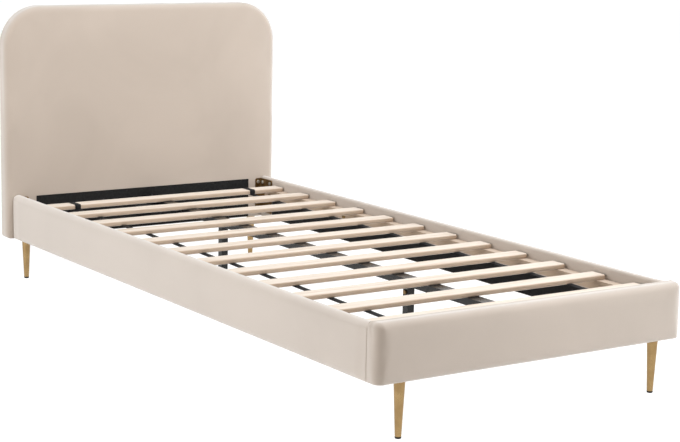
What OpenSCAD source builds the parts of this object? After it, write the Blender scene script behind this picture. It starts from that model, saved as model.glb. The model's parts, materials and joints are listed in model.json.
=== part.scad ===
// Upholstered single bed: padded rails and boards round a slatted base, on tapered metal legs.
// X runs across the bed, Y from the foot to the head and Z up, in millimetres.
// The origin is on the floor, under the centre of the bed's footprint.

/* [Mattress] */
// Width of the mattress that the bed takes
mattress_w = 900; // [800:10:1000]
// Length of the mattress that the bed takes
mattress_l = 2000; // [1900:10:2100]
// Play between the mattress and each side rail
side_play = 2; // [1:0.5:10]
// Play between the mattress and each end board
end_play = 4; // [1:0.5:12]
// Depth of the slats' tops below the rails' tops
mattress_recess = 20; // [16:0.5:32]

/* [Upholstery] */
// Foam and fabric on the outer face of the rails and the foot board
pad_t = 8; // [5:0.5:12]
// Foam and fabric on the front of the headboard
head_pad_t = 14; // [10:0.5:20]
// Padding over the top edges of the boards
top_pad_t = 6; // [4:0.5:10]
// Fabric on the inner faces, the ends and the back
wrap_t = 2; // [1:0.5:4]
// Fabric under the boards
under_wrap_t = 3; // [1:0.5:5]
// Round of the upholstered top outer edges
edge_r = 14; // [6:0.5:14]
// Round of the upholstered top inner edges
inner_edge_r = 6; // [3:0.5:7]
// Round of the upholstered bottom edges
under_edge_r = 5; // [2:0.5:7]
// Thickness of the black dust cloth
cloth_t = 1; // [0.5:0.5:2]

/* [Rails and foot board] */
// Height of the side rails
rail_h = 142; // [135:0.5:170]
// How far the foot board stands up past the side rails
foot_rise = 6; // [0:0.5:10]
// Radius of the foot board's upright corners
foot_corner_r = 22; // [18:1:30]
// Thickness of the board inside a side rail
rail_board_t = 18; // [15:0.5:25]
// Thickness of the board inside the foot board
foot_board_t = 32; // [26:0.5:40]
// Height of the dust cloth inside the rails and the foot board
rail_cloth_h = 63.5; // [50:0.5:68]

/* [Headboard] */
// Height of the headboard from its underside
head_h = 746; // [500:2:1000]
// Thickness of the board inside the headboard
head_board_t = 36; // [30:0.5:45]
// How far the headboard stands out past each side rail
head_overhang = 21; // [10:0.5:40]
// Radius of the headboard's two top corners
head_corner_r = 130; // [60:2:200]
// Round of the headboard's front edge
head_edge_r = 12; // [6:0.5:13]
// Round of the headboard's back edge
head_back_r = 6; // [2:0.5:10]
// Gap between a bracket and the dust cloth low on the headboard's front
head_cloth_gap = 28; // [5:1:60]
// Height of the dust cloth low on the headboard's front
head_cloth_h = 133; // [80:1:140]
// Border that the dust cloth leaves bare on the headboard's back
back_cloth_border = 24; // [14:1:60]

/* [Slatted base] */
// Width of a slat
slat_w = 54; // [44:0.5:62]
// Thickness of a slat
slat_t = 14; // [12:0.5:18]
// Round of a slat's long edges
slat_r = 4.5; // [1:0.5:5]
// Play between a slat's end and the rail
slat_play = 6; // [3:0.5:10]
// Gap between the headboard and the first slat
head_gap = 99; // [90:1:120]
// Gap between the foot board and the last slat
foot_gap = 55; // [40:1:80]
// Width of the ledger that carries the slats
ledger_w = 32; // [26:0.5:40]
// Height of the ledger
ledger_h = 26; // [22:0.5:30]
// Width of the webbing that holds the slats
strap_w = 18; // [14:0.5:30]
// Thickness of the webbing
strap_t = 1.5; // [1:0.1:2]
// Distance of each webbing from the bed's middle
strap_x = 325; // [250:5:370]
// Bare stretch of the first slat's top, up to the webbing's end
strap_end_in = 8; // [6:0.5:14]

/* [Centre beam and its legs] */
// Width of the centre beam
beam_w = 40; // [34:0.5:50]
// Height of the centre beam
beam_h = 20; // [16:0.5:26]
// Wall of the centre beam
beam_wall = 1.5; // [1:0.1:2.5]
// Side of a centre leg's square tube
post_w = 22; // [20:0.5:30]
// Wall of a centre leg
post_wall = 1.5; // [1:0.1:2]
// Distance of the foot end's centre leg from the foot board
foot_post_in = 498; // [350:2:650]
// Distance of the head end's centre leg from the headboard
head_post_in = 518; // [350:2:650]
// Length of the stub on the beam that a centre leg slips over
stub_l = 35; // [30:0.5:50]
// Distance of a centre leg's bolt below the beam
post_bolt_drop = 20; // [14:0.5:24]
// Play between a centre leg and its stub
stub_play = 0.2; // [0.1:0.05:0.4]

/* [Levelling feet] */
// Diameter of a levelling foot
pad_d = 26; // [20:0.5:36]
// Height of a levelling foot
pad_h = 8; // [6:0.5:12]
// Diameter of a levelling foot's screw
screw_d = 8; // [6:0.5:10]
// Length of a levelling foot's screw
screw_l = 34; // [30:0.5:45]
// Length of the socket that the screw turns in
socket_l = 22; // [18:0.5:30]
// Running clearance round the screw
screw_play = 0.1; // [0.05:0.01:0.15]
// Gap between a levelling foot and its socket
pad_gap = 0.3; // [0.2:0.05:0.6]

/* [Corner legs] */
// Height of the boards' undersides over the floor
leg_h = 140; // [110:2:200]
// Diameter of a leg's top
leg_top_d = 28; // [24:0.5:32]
// Diameter of a leg's lower end
leg_low_d = 16; // [14:0.5:22]
// Wall of a leg
leg_wall = 1.5; // [1:0.1:2.5]
// Thickness of the plug in a leg's top
leg_plug_t = 12; // [10:0.5:18]
// Diameter of the collar round a leg's top
collar_d = 30; // [28:0.5:34]
// Height of the collar
collar_h = 3; // [2:0.5:5]
// Distance of the foot end's legs from the outside of the rails
foot_leg_in = 80; // [50:1:120]
// Distance of the head end's legs from the headboard's side
head_leg_in = 75; // [50:1:120]
// Height of the black glide under a leg
glide_h = 5; // [4:0.5:8]
// Round of the glide's lower edge
glide_r = 2.5; // [1:0.5:3]
// Length of the glide's stem inside the leg
glide_stem_l = 14; // [8:0.5:20]
// Diameter of the screw stud in a leg's top
stud_d = 8; // [6:0.5:10]
// How far the stud reaches into the board
stud_grip = 26; // [18:0.5:34]

/* [Corner brackets] */
// Thickness of a bracket
bracket_t = 3; // [2:0.5:4]
// Height of a bracket
bracket_h = 118; // [95:1:120]
// Distance of a bracket's top below the rails' tops
bracket_drop = 7; // [7:0.5:12]
// Length of a bracket's long leaf
long_leaf = 75; // [62:1:90]
// Length of a bracket's short leaf
short_leaf = 24; // [22:0.5:27]
// Outer radius of a bracket's bend
bend_r = 4.5; // [4.5:0.5:6]
// Round of a leaf's free corners
leaf_r = 6; // [2:0.5:8]

/* [Fasteners] */
// Diameter of a bracket bolt
bolt_d = 6; // [5:0.5:8]
// Diameter of a bracket bolt's head
bolt_head_d = 12; // [10:0.5:13]
// Height of a bracket bolt's head
bolt_head_h = 4; // [3:0.5:5]
// How far a bolt or screw reaches into a board
bolt_grip = 14; // [10:0.5:14]
// Running clearance round a bolt, screw or stud
bolt_play = 0.05; // [0.03:0.01:0.1]
// Height of the ledger bolts over the ledger's underside
ledger_bolt_up = 8; // [8:0.5:12]
// Diameter of a ledger bolt's head
ledger_head_d = 14; // [12:0.5:16]
// Distance of the outer ledger bolts from the ledger's ends
ledger_bolt_in = 35; // [20:1:60]
// Diameter of a centre leg's bolt
post_bolt_d = 6; // [5:0.5:8]
// Diameter of a centre leg's bolt head and nut
post_head_d = 13; // [11:0.5:16]

/* [Beam hangers] */
// Thickness of a hanger's steel
hanger_t = 2.5; // [2:0.5:3]
// Length of the trough that the beam lies in
hanger_l = 40; // [25:1:41]
// Width of a hanger's plate
hanger_plate_w = 82; // [78:1:100]
// Height of a hanger's plate
hanger_plate_h = 48; // [42:1:60]
// Distance of a hanger's top below the slats
hanger_drop = 3; // [2:0.5:5]
// Play between the beam and its hanger
beam_play = 0.5; // [0.3:0.1:1]
// Diameter of a hanger screw
hanger_screw_d = 5; // [4:0.5:6]
// Diameter of a hanger screw's head
hanger_head_d = 10; // [8:0.5:11]
// Distance of the hanger screws from the plate's edges
hanger_screw_in = 8; // [7:0.5:9]

/* [Hidden] */
// Counts of slats and of each ledger's bolts
slat_n = 12;
ledger_bolt_n = 5;
// Sides of a hexagon and facets of a round
hex_sides = 6;
round_faces = 64;
// Overrun of every cut past the face that it starts from
over = 1;
// Gap between pieces that lie side by side on one board
lay_gap = 2;
// Border of the dust cloth above a board's lower edge
cloth_in = 2;
// Height of a leg's lower lip and its step in the radius
lip_h = 2;
lip_t = 0.6;
// Clearance of the holes in the upholstery round bolts and studs
cover_play = 0.5;
// Key sockets in the bolt heads, as shares of the head
key_w_share = 0.4;
key_depth_share = 0.55;
head_round_share = 0.4;
// Rim of the socket, which a centre leg stands on
socket_rim_h = 2;

side_names = ["left", "right"];
end_names = ["foot", "head"];
function slat_name(i) = str("slat_", i < 10 ? "0" : "", i);

inner_w = mattress_w + 2 * side_play;
inner_l = mattress_l + 2 * end_play;
rail_t = pad_t + rail_board_t + wrap_t;
foot_t = pad_t + foot_board_t + wrap_t;
head_t = head_pad_t + head_board_t + wrap_t;
frame_w = inner_w + 2 * rail_t;
head_w = frame_w + 2 * head_overhang;
total_l = foot_t + inner_l + head_t + cloth_t;
foot_y = -total_l / 2;
seam_y = foot_y + foot_t;
head_y = seam_y + inner_l;
back_y = head_y + head_t;
rail_top = leg_h + rail_h;
foot_h = rail_h + foot_rise;
foot_corner_x = frame_w / 2 - foot_corner_r;
slat_z = rail_top - mattress_recess - slat_t;
slat_l = inner_w - 2 * slat_play;
slat_pitch = (inner_l - head_gap - foot_gap - slat_w) / (slat_n - 1);
ledger_z = slat_z - ledger_h;
ledger_y0 = seam_y + short_leaf + lay_gap;
ledger_y1 = head_y - long_leaf - lay_gap;
beam_z = slat_z - beam_h;
hanger_z1 = slat_z - hanger_drop;
hanger_z0 = hanger_z1 - hanger_plate_h;
trough_w = beam_w + 2 * beam_play;
bracket_z = rail_top - bracket_drop - bracket_h;
cloth_z = leg_h + cloth_in;
foot_cloth_w = inner_w - 2 * long_leaf - 2 * lay_gap;
head_cloth_w = inner_w - 2 * short_leaf - 2 * head_cloth_gap;
foot_leg_x = frame_w / 2 - foot_leg_in;
head_leg_x = head_w / 2 - head_leg_in;
foot_leg_y = foot_y + foot_t / 2;
head_leg_y = head_y + head_t / 2;
post_ys = [seam_y + foot_post_in, head_y - head_post_in];
post_z0 = pad_h + pad_gap;
stub_w = post_w - 2 * post_wall - 2 * stub_play;
leaf_row_in = bolt_head_d / 2 + leaf_r;
leaf_rows = [leaf_row_in, bracket_h - leaf_row_in];
long_cols = [bend_r + bolt_head_d, long_leaf - leaf_row_in];
short_cols = [(short_leaf + bend_r) / 2];

$fn = round_faces;

fabric_tone = [0.87, 0.82, 0.77];
cloth_tone = [0.17, 0.17, 0.18];
board_tone = [0.78, 0.66, 0.5];
slat_tone = [0.93, 0.84, 0.73];
brass_tone = [0.8, 0.64, 0.38];
bracket_tone = [0.52, 0.43, 0.22];
steel_tone = [0.7, 0.7, 0.68];
black_tone = [0.08, 0.08, 0.09];

// Extrudes a section drawn in X and Z along Y
module along_y(y0, y1) {
    translate([0, y1, 0])
        rotate([90, 0, 0])
            linear_extrude(y1 - y0)
                children();
}

// Extrudes a section drawn in Y and Z along X
module along_x(x0, x1) {
    translate([x0, 0, 0])
        rotate([90, 0, 90])
            linear_extrude(x1 - x0)
                children();
}

// Puts its children on one side of the bed: 0 is the left side, 1 the right
module on_side(side) {
    mirror([side, 0, 0])
        children();
}

// Rectangle with a round of its own at each corner:
// lower left, lower right, upper right and upper left
module section(w, h, radii) {
    difference() {
        square([w, h]);
        for (i = [0:3]) {
            right = (i == 1 || i == 2) ? 1 : 0;
            upper = i > 1 ? 1 : 0;
            r = radii[i];
            if (r > 0)
                translate([right == 1 ? w - r : r, upper == 1 ? h - r : r])
                    mirror([1 - right, 0])
                        mirror([0, 1 - upper])
                            difference() {
                                square(r + over);
                                circle(r);
                            }
        }
    }
}

// Bolt or screw head over z = 0 with a key socket, and its shank below
module bolt(d, head_d, head_h, shank_l) {
    difference() {
        union() {
            rotate_extrude()
                section(head_d / 2, head_h, [0, 0, head_h * head_round_share, 0]);
            translate([0, 0, -shank_l])
                cylinder(d = d, h = shank_l);
        }
        translate([0, 0, head_h * (1 - key_depth_share)])
            cylinder(d = head_d * key_w_share, h = head_h * key_depth_share + over, $fn = hex_sides);
    }
}

// Hole for a shank that starts below z = 0
module bolt_hole(d, shank_l, play) {
    translate([0, 0, -shank_l])
        cylinder(d = d + 2 * play, h = shank_l + over);
}

// Stands its children on the inner corner of a rail and an end board, turned to the
// head's right corner: side 0 is left and 1 right, end 0 is the foot and 1 the head
module at_corner(side, end) {
    translate([0, end == 1 ? head_y : seam_y, bracket_z])
        on_side(1 - side)
            translate([inner_w / 2, 0, 0])
                mirror([0, 1 - end, 0])
                    children();
}

function rail_leaf(end) = end == 1 ? long_leaf : short_leaf;
function end_leaf(end) = end == 1 ? short_leaf : long_leaf;
function rail_cols(end) = end == 1 ? long_cols : short_cols;
function end_cols(end) = end == 1 ? short_cols : long_cols;

// Each bolt of the leaves that lie on one rail, looking out of the rail
module at_rail_bolts(side) {
    for (end = [0, 1])
        at_corner(side, end)
            for (z = leaf_rows, y = rail_cols(end))
                translate([-bracket_t, -y, z])
                    rotate([0, -90, 0])
                        children();
}

// Each bolt of the leaves that lie on one end board, looking out of the board
module at_end_bolts(end) {
    for (side = [0, 1])
        at_corner(side, end)
            for (z = leaf_rows, x = end_cols(end))
                translate([-x, -bracket_t, z])
                    rotate([90, 0, 0])
                        children();
}

// Each bolt of one ledger, looking out of its inner side
module at_ledger_bolts(side) {
    first = ledger_y0 + ledger_bolt_in;
    step = (ledger_y1 - ledger_bolt_in - first) / (ledger_bolt_n - 1);
    on_side(1 - side)
        for (i = [0:ledger_bolt_n - 1])
            translate([inner_w / 2 - ledger_w, first + i * step, ledger_z + ledger_bolt_up])
                rotate([0, -90, 0])
                    children();
}

// Each screw of one beam hanger, looking out of its plate
module at_hanger_screws(end) {
    plate_y = end == 1 ? head_y - cloth_t - hanger_t : seam_y + cloth_t + hanger_t;
    dx = hanger_plate_w / 2 - hanger_screw_in;
    for (x = [-dx, dx], z = [hanger_z0 + hanger_screw_in, hanger_z1 - hanger_screw_in])
        translate([x, plate_y, z])
            rotate([end == 1 ? 90 : -90, 0, 0])
                children();
}

// Each stud of one end's legs, at the board's underside
module at_studs(end) {
    x = end == 1 ? head_leg_x : foot_leg_x;
    y = end == 1 ? head_leg_y : foot_leg_y;
    for (sx = [-x, x])
        translate([sx, y, leg_h])
            children();
}

rail_shank = bracket_t + wrap_t + bolt_grip;
head_shank = bracket_t + head_pad_t + bolt_grip;
ledger_shank = ledger_w + wrap_t + bolt_grip;
foot_hanger_shank = hanger_t + cloth_t + wrap_t + bolt_grip;
head_hanger_shank = hanger_t + cloth_t + head_pad_t + bolt_grip;
stud_top = under_wrap_t + stud_grip;

function end_shank(end) = end == 1 ? head_shank : rail_shank;
function hanger_shank(end) = end == 1 ? head_hanger_shank : foot_hanger_shank;

// Holes that the brackets, ledgers, hangers and legs need in a rail or an end board
module rail_holes(side, play) {
    at_rail_bolts(side)
        bolt_hole(bolt_d, rail_shank + play, play);
    at_ledger_bolts(side)
        bolt_hole(bolt_d, ledger_shank + play, play);
}

module end_holes(end, play) {
    at_end_bolts(end)
        bolt_hole(bolt_d, end_shank(end) + play, play);
    at_hanger_screws(end)
        bolt_hole(hanger_screw_d, hanger_shank(end) + play, play);
    at_studs(end)
        translate([0, 0, -over])
            cylinder(d = stud_d + 2 * play, h = stud_top + over + play);
}

// Side rails

module rail_board_shape() {
    along_y(seam_y + wrap_t, head_y - wrap_t)
        translate([-frame_w / 2 + pad_t, leg_h + under_wrap_t])
            square([rail_board_t, rail_h - under_wrap_t - top_pad_t]);
}

module rail_board(side) {
    color(board_tone)
        difference() {
            on_side(side)
                rail_board_shape();
            rail_holes(side, bolt_play);
        }
}

module rail_cover(side) {
    color(fabric_tone)
        difference() {
            on_side(side)
                along_y(seam_y, head_y)
                    translate([-frame_w / 2, leg_h])
                        section(rail_t, rail_h, [under_edge_r, 0, inner_edge_r, edge_r]);
            on_side(side)
                rail_board_shape();
            rail_holes(side, cover_play);
        }
}

module rail_cloth(side) {
    color(cloth_tone)
        on_side(side)
            translate([-inner_w / 2, ledger_y0, cloth_z])
                cube([cloth_t, ledger_y1 - ledger_y0, rail_cloth_h]);
}

// Foot board, whose upright outer corners are quarter rounds

module foot_plan(inset, depth) {
    r = foot_corner_r - inset;
    w = frame_w - 2 * inset;
    translate([-w / 2, foot_y + inset])
        section(w, depth, [r, r, 0, 0]);
}

module foot_board_shape() {
    translate([0, 0, leg_h + under_wrap_t])
        linear_extrude(foot_h - under_wrap_t - top_pad_t)
            foot_plan(pad_t, foot_board_t);
}

module foot_outer() {
    along_x(-foot_corner_x, foot_corner_x)
        translate([foot_y, leg_h])
            section(foot_t, foot_h, [under_edge_r, 0, 0, edge_r]);
    for (side = [0, 1])
        on_side(side) {
            translate([-foot_corner_x, foot_y + foot_corner_r, leg_h])
                rotate([0, 0, 180])
                    rotate_extrude(angle = 90)
                        section(foot_corner_r, foot_h, [0, under_edge_r, edge_r, 0]);
            along_y(foot_y + foot_corner_r, seam_y)
                translate([-frame_w / 2, leg_h])
                    section(foot_corner_r, foot_h, [under_edge_r, 0, 0, edge_r]);
        }
}

module foot_board() {
    color(board_tone)
        difference() {
            foot_board_shape();
            end_holes(0, bolt_play);
        }
}

module foot_cover() {
    color(fabric_tone)
        difference() {
            foot_outer();
            foot_board_shape();
            // Round of the top edge along the mattress and over the rails' ends
            along_x(-frame_w / 2 - over, frame_w / 2 + over)
                translate([seam_y - inner_edge_r, leg_h + foot_h - inner_edge_r])
                    difference() {
                        square(inner_edge_r + over);
                        circle(inner_edge_r);
                    }
            end_holes(0, cover_play);
        }
}

module foot_cloth() {
    color(cloth_tone)
        difference() {
            translate([-foot_cloth_w / 2, seam_y, cloth_z])
                cube([foot_cloth_w, cloth_t, rail_cloth_h]);
            end_holes(0, cover_play);
        }
}

// Headboard, whose top corners are round in its face and whose edges are round all along

module head_outline(inset) {
    r = head_corner_r - inset;
    w = head_w - 2 * inset;
    section(w, head_h - inset - under_wrap_t, [0, 0, r, r]);
}

module head_board_shape() {
    along_y(head_y + head_pad_t, head_y + head_pad_t + head_board_t)
        translate([-head_w / 2 + top_pad_t, leg_h + under_wrap_t])
            head_outline(top_pad_t);
}

// Rim of the headboard in the direction of its width, from its corner's centre outward
module head_rim(reach) {
    section(reach, head_t, [0, head_edge_r, head_back_r, 0]);
}

module head_outer() {
    side_l = head_h - head_corner_r;
    half_w = head_w / 2;
    corner_x = half_w - head_corner_r;
    for (side = [0, 1])
        on_side(side) {
            translate([0, head_y, leg_h])
                linear_extrude(side_l)
                    head_rim(half_w);
            translate([corner_x, head_y, leg_h + side_l])
                rotate([-90, 0, 0])
                    mirror([0, 1, 0])
                        rotate_extrude(angle = 90)
                            head_rim(head_corner_r);
        }
    along_x(-corner_x, corner_x)
        translate([head_y, leg_h + side_l])
            section(head_t, head_corner_r, [0, 0, head_back_r, head_edge_r]);
}

module headboard_board() {
    color(board_tone)
        difference() {
            head_board_shape();
            end_holes(1, bolt_play);
        }
}

module headboard_cover() {
    color(fabric_tone)
        difference() {
            head_outer();
            head_board_shape();
            end_holes(1, cover_play);
        }
}

module headboard_back_cloth() {
    r = head_corner_r - back_cloth_border;
    color(cloth_tone)
        along_y(back_y, back_y + cloth_t)
            translate([-head_w / 2 + back_cloth_border, leg_h + back_cloth_border])
                section(head_w - 2 * back_cloth_border, head_h - 2 * back_cloth_border, [0, 0, r, r]);
}

module headboard_front_cloth() {
    color(cloth_tone)
        difference() {
            translate([-head_cloth_w / 2, head_y - cloth_t, cloth_z])
                cube([head_cloth_w, cloth_t, head_cloth_h]);
            end_holes(1, cover_play);
        }
}

// Slatted base

function slat_y(i) = head_y - head_gap - slat_w / 2 - (i - 1) * slat_pitch;

module slat_section(grow) {
    w = slat_w + 2 * grow;
    h = slat_t + 2 * grow;
    r = slat_r + grow;
    translate([-w / 2, slat_z - grow])
        section(w, h, [r, r, r, r]);
}

module slat(i) {
    color(slat_tone)
        along_x(-slat_l / 2, slat_l / 2)
            translate([slat_y(i), 0])
                slat_section(0);
}

module ledger(side) {
    color(slat_tone)
        difference() {
            on_side(side)
                along_y(ledger_y0, ledger_y1)
                    translate([-inner_w / 2, ledger_z])
                        square([ledger_w, ledger_h]);
            at_ledger_bolts(side)
                bolt_hole(bolt_d, ledger_shank, bolt_play);
        }
}

module ledger_bolts() {
    color(bracket_tone)
        for (side = [0, 1])
            at_ledger_bolts(side)
                bolt(bolt_d, ledger_head_d, bolt_head_h, ledger_shank);
}

// Webbing that runs under every slat, goes round the first one and ends on its top
module strap(side) {
    run_y0 = slat_y(slat_n) - slat_w / 2;
    bare_l = strap_t + over + strap_end_in;
    color(cloth_tone)
        on_side(side)
            along_x(-strap_x - strap_w / 2, -strap_x + strap_w / 2)
                difference() {
                    union() {
                        translate([slat_y(1), 0])
                            slat_section(strap_t);
                        translate([run_y0, slat_z - strap_t])
                            square([slat_y(1) - run_y0, strap_t]);
                    }
                    translate([slat_y(1), 0])
                        slat_section(0);
                    translate([slat_y(1) - slat_w / 2 - strap_t - over, slat_z])
                        square([bare_l, slat_t + strap_t + over]);
                }
}

// Centre beam with the two stubs that its legs slip over

module square_tube(w, wall, h) {
    linear_extrude(h)
        difference() {
            square(w, center = true);
            square(w - 2 * wall, center = true);
        }
}

// Each centre leg's cross bolt, looking to the right
module at_post_bolt(y) {
    translate([post_w / 2, y, beam_z - post_bolt_drop])
        rotate([0, 90, 0])
            children();
}

module centre_beam() {
    end_gap = cloth_t + hanger_t + beam_play;
    color(black_tone)
        difference() {
            union() {
                along_y(seam_y + end_gap, head_y - end_gap)
                    translate([-beam_w / 2, beam_z])
                        difference() {
                            square([beam_w, beam_h]);
                            translate([beam_wall, beam_wall])
                                square([beam_w - 2 * beam_wall, beam_h - 2 * beam_wall]);
                        }
                for (y = post_ys)
                    translate([0, y, beam_z - stub_l])
                        square_tube(stub_w, post_wall, stub_l);
            }
            for (y = post_ys)
                at_post_bolt(y)
                    bolt_hole(post_bolt_d, post_w, bolt_play);
        }
}

module beam_hanger(end) {
    board_y = end == 1 ? head_y - cloth_t : seam_y + cloth_t;
    color(black_tone)
        difference() {
            translate([0, board_y, 0])
                mirror([0, end, 0]) {
                    translate([-hanger_plate_w / 2, 0, hanger_z0])
                        cube([hanger_plate_w, hanger_t, hanger_plate_h]);
                    along_y(0, hanger_l)
                        difference() {
                            translate([-trough_w / 2 - hanger_t, beam_z - hanger_t])
                                square([trough_w + 2 * hanger_t, hanger_z1 - beam_z + hanger_t]);
                            translate([-trough_w / 2, beam_z])
                                square([trough_w, hanger_z1 - beam_z + over]);
                        }
                }
            at_hanger_screws(end)
                bolt_hole(hanger_screw_d, hanger_shank(end), bolt_play);
        }
}

module hanger_screws() {
    color(steel_tone)
        for (end = [0, 1])
            at_hanger_screws(end)
                bolt(hanger_screw_d, hanger_head_d, bolt_head_h, hanger_shank(end));
}

module centre_leg(end) {
    y = post_ys[end];
    color(black_tone)
        difference() {
            translate([0, y, post_z0 + socket_rim_h])
                square_tube(post_w, post_wall, beam_z - post_z0 - socket_rim_h);
            at_post_bolt(y)
                bolt_hole(post_bolt_d, post_w + over, bolt_play);
        }
}

// Plastic socket in a centre leg's lower end
module leg_socket(end) {
    w = post_w - 2 * post_wall;
    color(black_tone)
        translate([0, post_ys[end], post_z0])
            difference() {
                union() {
                    linear_extrude(socket_rim_h)
                        square(post_w, center = true);
                    linear_extrude(socket_l)
                        square(w, center = true);
                }
                translate([0, 0, -over])
                    cylinder(d = screw_d + 2 * screw_play, h = socket_l + 2 * over);
            }
}

module centre_leg_bolts() {
    nut_h = bolt_head_h;
    color(bracket_tone)
        for (y = post_ys)
            at_post_bolt(y) {
                bolt(post_bolt_d, post_head_d, bolt_head_h, post_w + nut_h);
                translate([0, 0, -post_w - nut_h])
                    cylinder(d = post_head_d, h = nut_h, $fn = hex_sides);
            }
}

// Foot that screws in and out of a centre leg's socket
module levelling_foot(end) {
    color(black_tone)
        translate([0, post_ys[end], 0]) {
            rotate_extrude()
                section(pad_d / 2, pad_h, [0, glide_r, glide_r, 0]);
            cylinder(d = screw_d, h = pad_h + screw_l);
        }
}

// Corner legs

// Half outline of the tapered tube, drawn from its axis outward
module leg_half() {
    top_r = leg_top_d / 2;
    low_r = leg_low_d / 2;
    difference() {
        union() {
            polygon([
                [0, glide_h],
                [low_r - lip_t, glide_h],
                [low_r - lip_t, glide_h + lip_h],
                [low_r, glide_h + lip_h],
                [top_r, leg_h - collar_h],
                [top_r, leg_h],
                [0, leg_h],
            ]);
            translate([0, leg_h - collar_h])
                section(collar_d / 2, collar_h, [0, lip_t, 0, 0]);
        }
        polygon([
            [0, glide_h - over],
            [low_r - lip_t - leg_wall, glide_h - over],
            [low_r - lip_t - leg_wall, glide_h + lip_h],
            [top_r - leg_wall, leg_h - leg_plug_t],
            [0, leg_h - leg_plug_t],
        ]);
    }
}

module leg(x, y) {
    color(brass_tone)
        translate([x, y, 0])
            difference() {
                rotate_extrude()
                    leg_half();
                translate([0, 0, leg_h - leg_plug_t - over])
                    cylinder(d = stud_d + 2 * bolt_play, h = leg_plug_t + 2 * over);
            }
}

module glide(x, y) {
    low_r = leg_low_d / 2;
    color(black_tone)
        translate([x, y, 0])
            rotate_extrude() {
                section(low_r, glide_h, [0, glide_r, 0, 0]);
                square([low_r - lip_t - leg_wall, glide_h + lip_h]);
                square([low_r - lip_t - 2 * leg_wall, glide_h + glide_stem_l]);
            }
}

module leg_studs() {
    color(steel_tone)
        for (end = [0, 1])
            at_studs(end)
                translate([0, 0, -leg_plug_t])
                    cylinder(d = stud_d, h = leg_plug_t + stud_top);
}

// Corner brackets

module leaf_outline(l) {
    section(l, bracket_h, [leaf_r, 0, 0, leaf_r]);
}

module bracket(side, end) {
    color(bracket_tone)
        difference() {
            at_corner(side, end) {
                translate([-end_leaf(end), 0, 0])
                    rotate([90, 0, 0])
                        linear_extrude(bracket_t)
                            leaf_outline(end_leaf(end) - bend_r);
                translate([0, -rail_leaf(end), 0])
                    rotate([90, 0, 90])
                        mirror([0, 0, 1])
                            linear_extrude(bracket_t)
                                leaf_outline(rail_leaf(end) - bend_r);
                translate([-bend_r, -bend_r, 0])
                    rotate_extrude(angle = 90)
                        translate([bend_r - bracket_t, 0])
                            square([bracket_t, bracket_h]);
            }
            at_rail_bolts(side)
                bolt_hole(bolt_d, rail_shank, bolt_play);
            at_end_bolts(end)
                bolt_hole(bolt_d, end_shank(end), bolt_play);
        }
}

module bracket_bolts() {
    color(steel_tone) {
        for (side = [0, 1])
            at_rail_bolts(side)
                bolt(bolt_d, bolt_head_d, bolt_head_h, rail_shank);
        for (end = [0, 1])
            at_end_bolts(end)
                bolt(bolt_d, bolt_head_d, bolt_head_h, end_shank(end));
    }
}

headboard_board();
headboard_cover();
headboard_back_cloth();
headboard_front_cloth();
foot_board();
foot_cover();
foot_cloth();
for (i = [0, 1]) {
    rail_board(i);
    rail_cover(i);
    rail_cloth(i);
    ledger(i);
    strap(i);
}
ledger_bolts();
for (e = [0, 1], s = [0, 1]) {
    corner = str(end_names[e], "_", side_names[s]);
    x = (s == 0 ? -1 : 1) * (e == 0 ? foot_leg_x : head_leg_x);
    y = e == 0 ? foot_leg_y : head_leg_y;
    bracket(s, e);
    leg(x, y);
    glide(x, y);
}
bracket_bolts();
centre_beam();
for (e = [0, 1]) {
    beam_hanger(e);
    centre_leg(e);
    leg_socket(e);
    levelling_foot(e);
}
hanger_screws();
centre_leg_bolts();
for (i = [1:slat_n]) {
    slat(i);
}
leg_studs();
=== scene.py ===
"""Upholstered single bed: its finishes, padded covers, cloths, webbing and staples, in a pale studio."""

import json
import logging
import math
from collections.abc import Callable
from dataclasses import dataclass, field
from enum import Enum

import bmesh
import bpy
import numpy as np
from mathutils import Matrix, Vector, noise

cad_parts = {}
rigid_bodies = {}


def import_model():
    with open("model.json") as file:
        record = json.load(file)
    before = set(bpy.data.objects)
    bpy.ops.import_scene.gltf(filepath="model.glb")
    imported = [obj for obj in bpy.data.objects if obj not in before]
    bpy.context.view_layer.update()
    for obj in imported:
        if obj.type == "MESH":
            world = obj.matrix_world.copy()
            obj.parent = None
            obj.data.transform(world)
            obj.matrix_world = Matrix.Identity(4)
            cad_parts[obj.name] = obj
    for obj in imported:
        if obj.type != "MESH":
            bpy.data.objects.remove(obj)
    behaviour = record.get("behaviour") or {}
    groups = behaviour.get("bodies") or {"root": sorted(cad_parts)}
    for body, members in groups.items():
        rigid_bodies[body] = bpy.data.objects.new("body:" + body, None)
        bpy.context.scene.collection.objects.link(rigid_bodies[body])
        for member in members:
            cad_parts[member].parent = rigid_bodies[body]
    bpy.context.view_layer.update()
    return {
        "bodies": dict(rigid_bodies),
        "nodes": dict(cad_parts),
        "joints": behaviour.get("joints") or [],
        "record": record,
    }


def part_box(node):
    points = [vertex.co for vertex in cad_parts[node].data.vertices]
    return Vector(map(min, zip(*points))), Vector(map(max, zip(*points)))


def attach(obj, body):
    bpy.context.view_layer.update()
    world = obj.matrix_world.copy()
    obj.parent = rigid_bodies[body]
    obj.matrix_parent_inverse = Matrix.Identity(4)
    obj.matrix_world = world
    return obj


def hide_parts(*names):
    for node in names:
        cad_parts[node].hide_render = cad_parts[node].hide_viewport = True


MM = 0.001
LOG = logging.getLogger("bed")
BED = "bed_frame"
SLATS = tuple(f"slat_{i:02d}" for i in range(1, 13))

Colour = tuple[float, float, float]
Place = tuple[float, float, float]
Run = tuple[list[Place], Place, bool]
FourSides = tuple[float, float, float, float]
UP: Place = (0.0, 0.0, 1.0)
DOWN: Place = (0.0, 0.0, -1.0)


class Side(Enum):
    """The two sides of the bed, seen from its foot, with the sign of their X."""

    LEFT = -1
    RIGHT = 1

    @property
    def label(self) -> str:
        """The side's name, as the frame's nodes spell it."""
        return self.name.lower()


# Node trees


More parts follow.
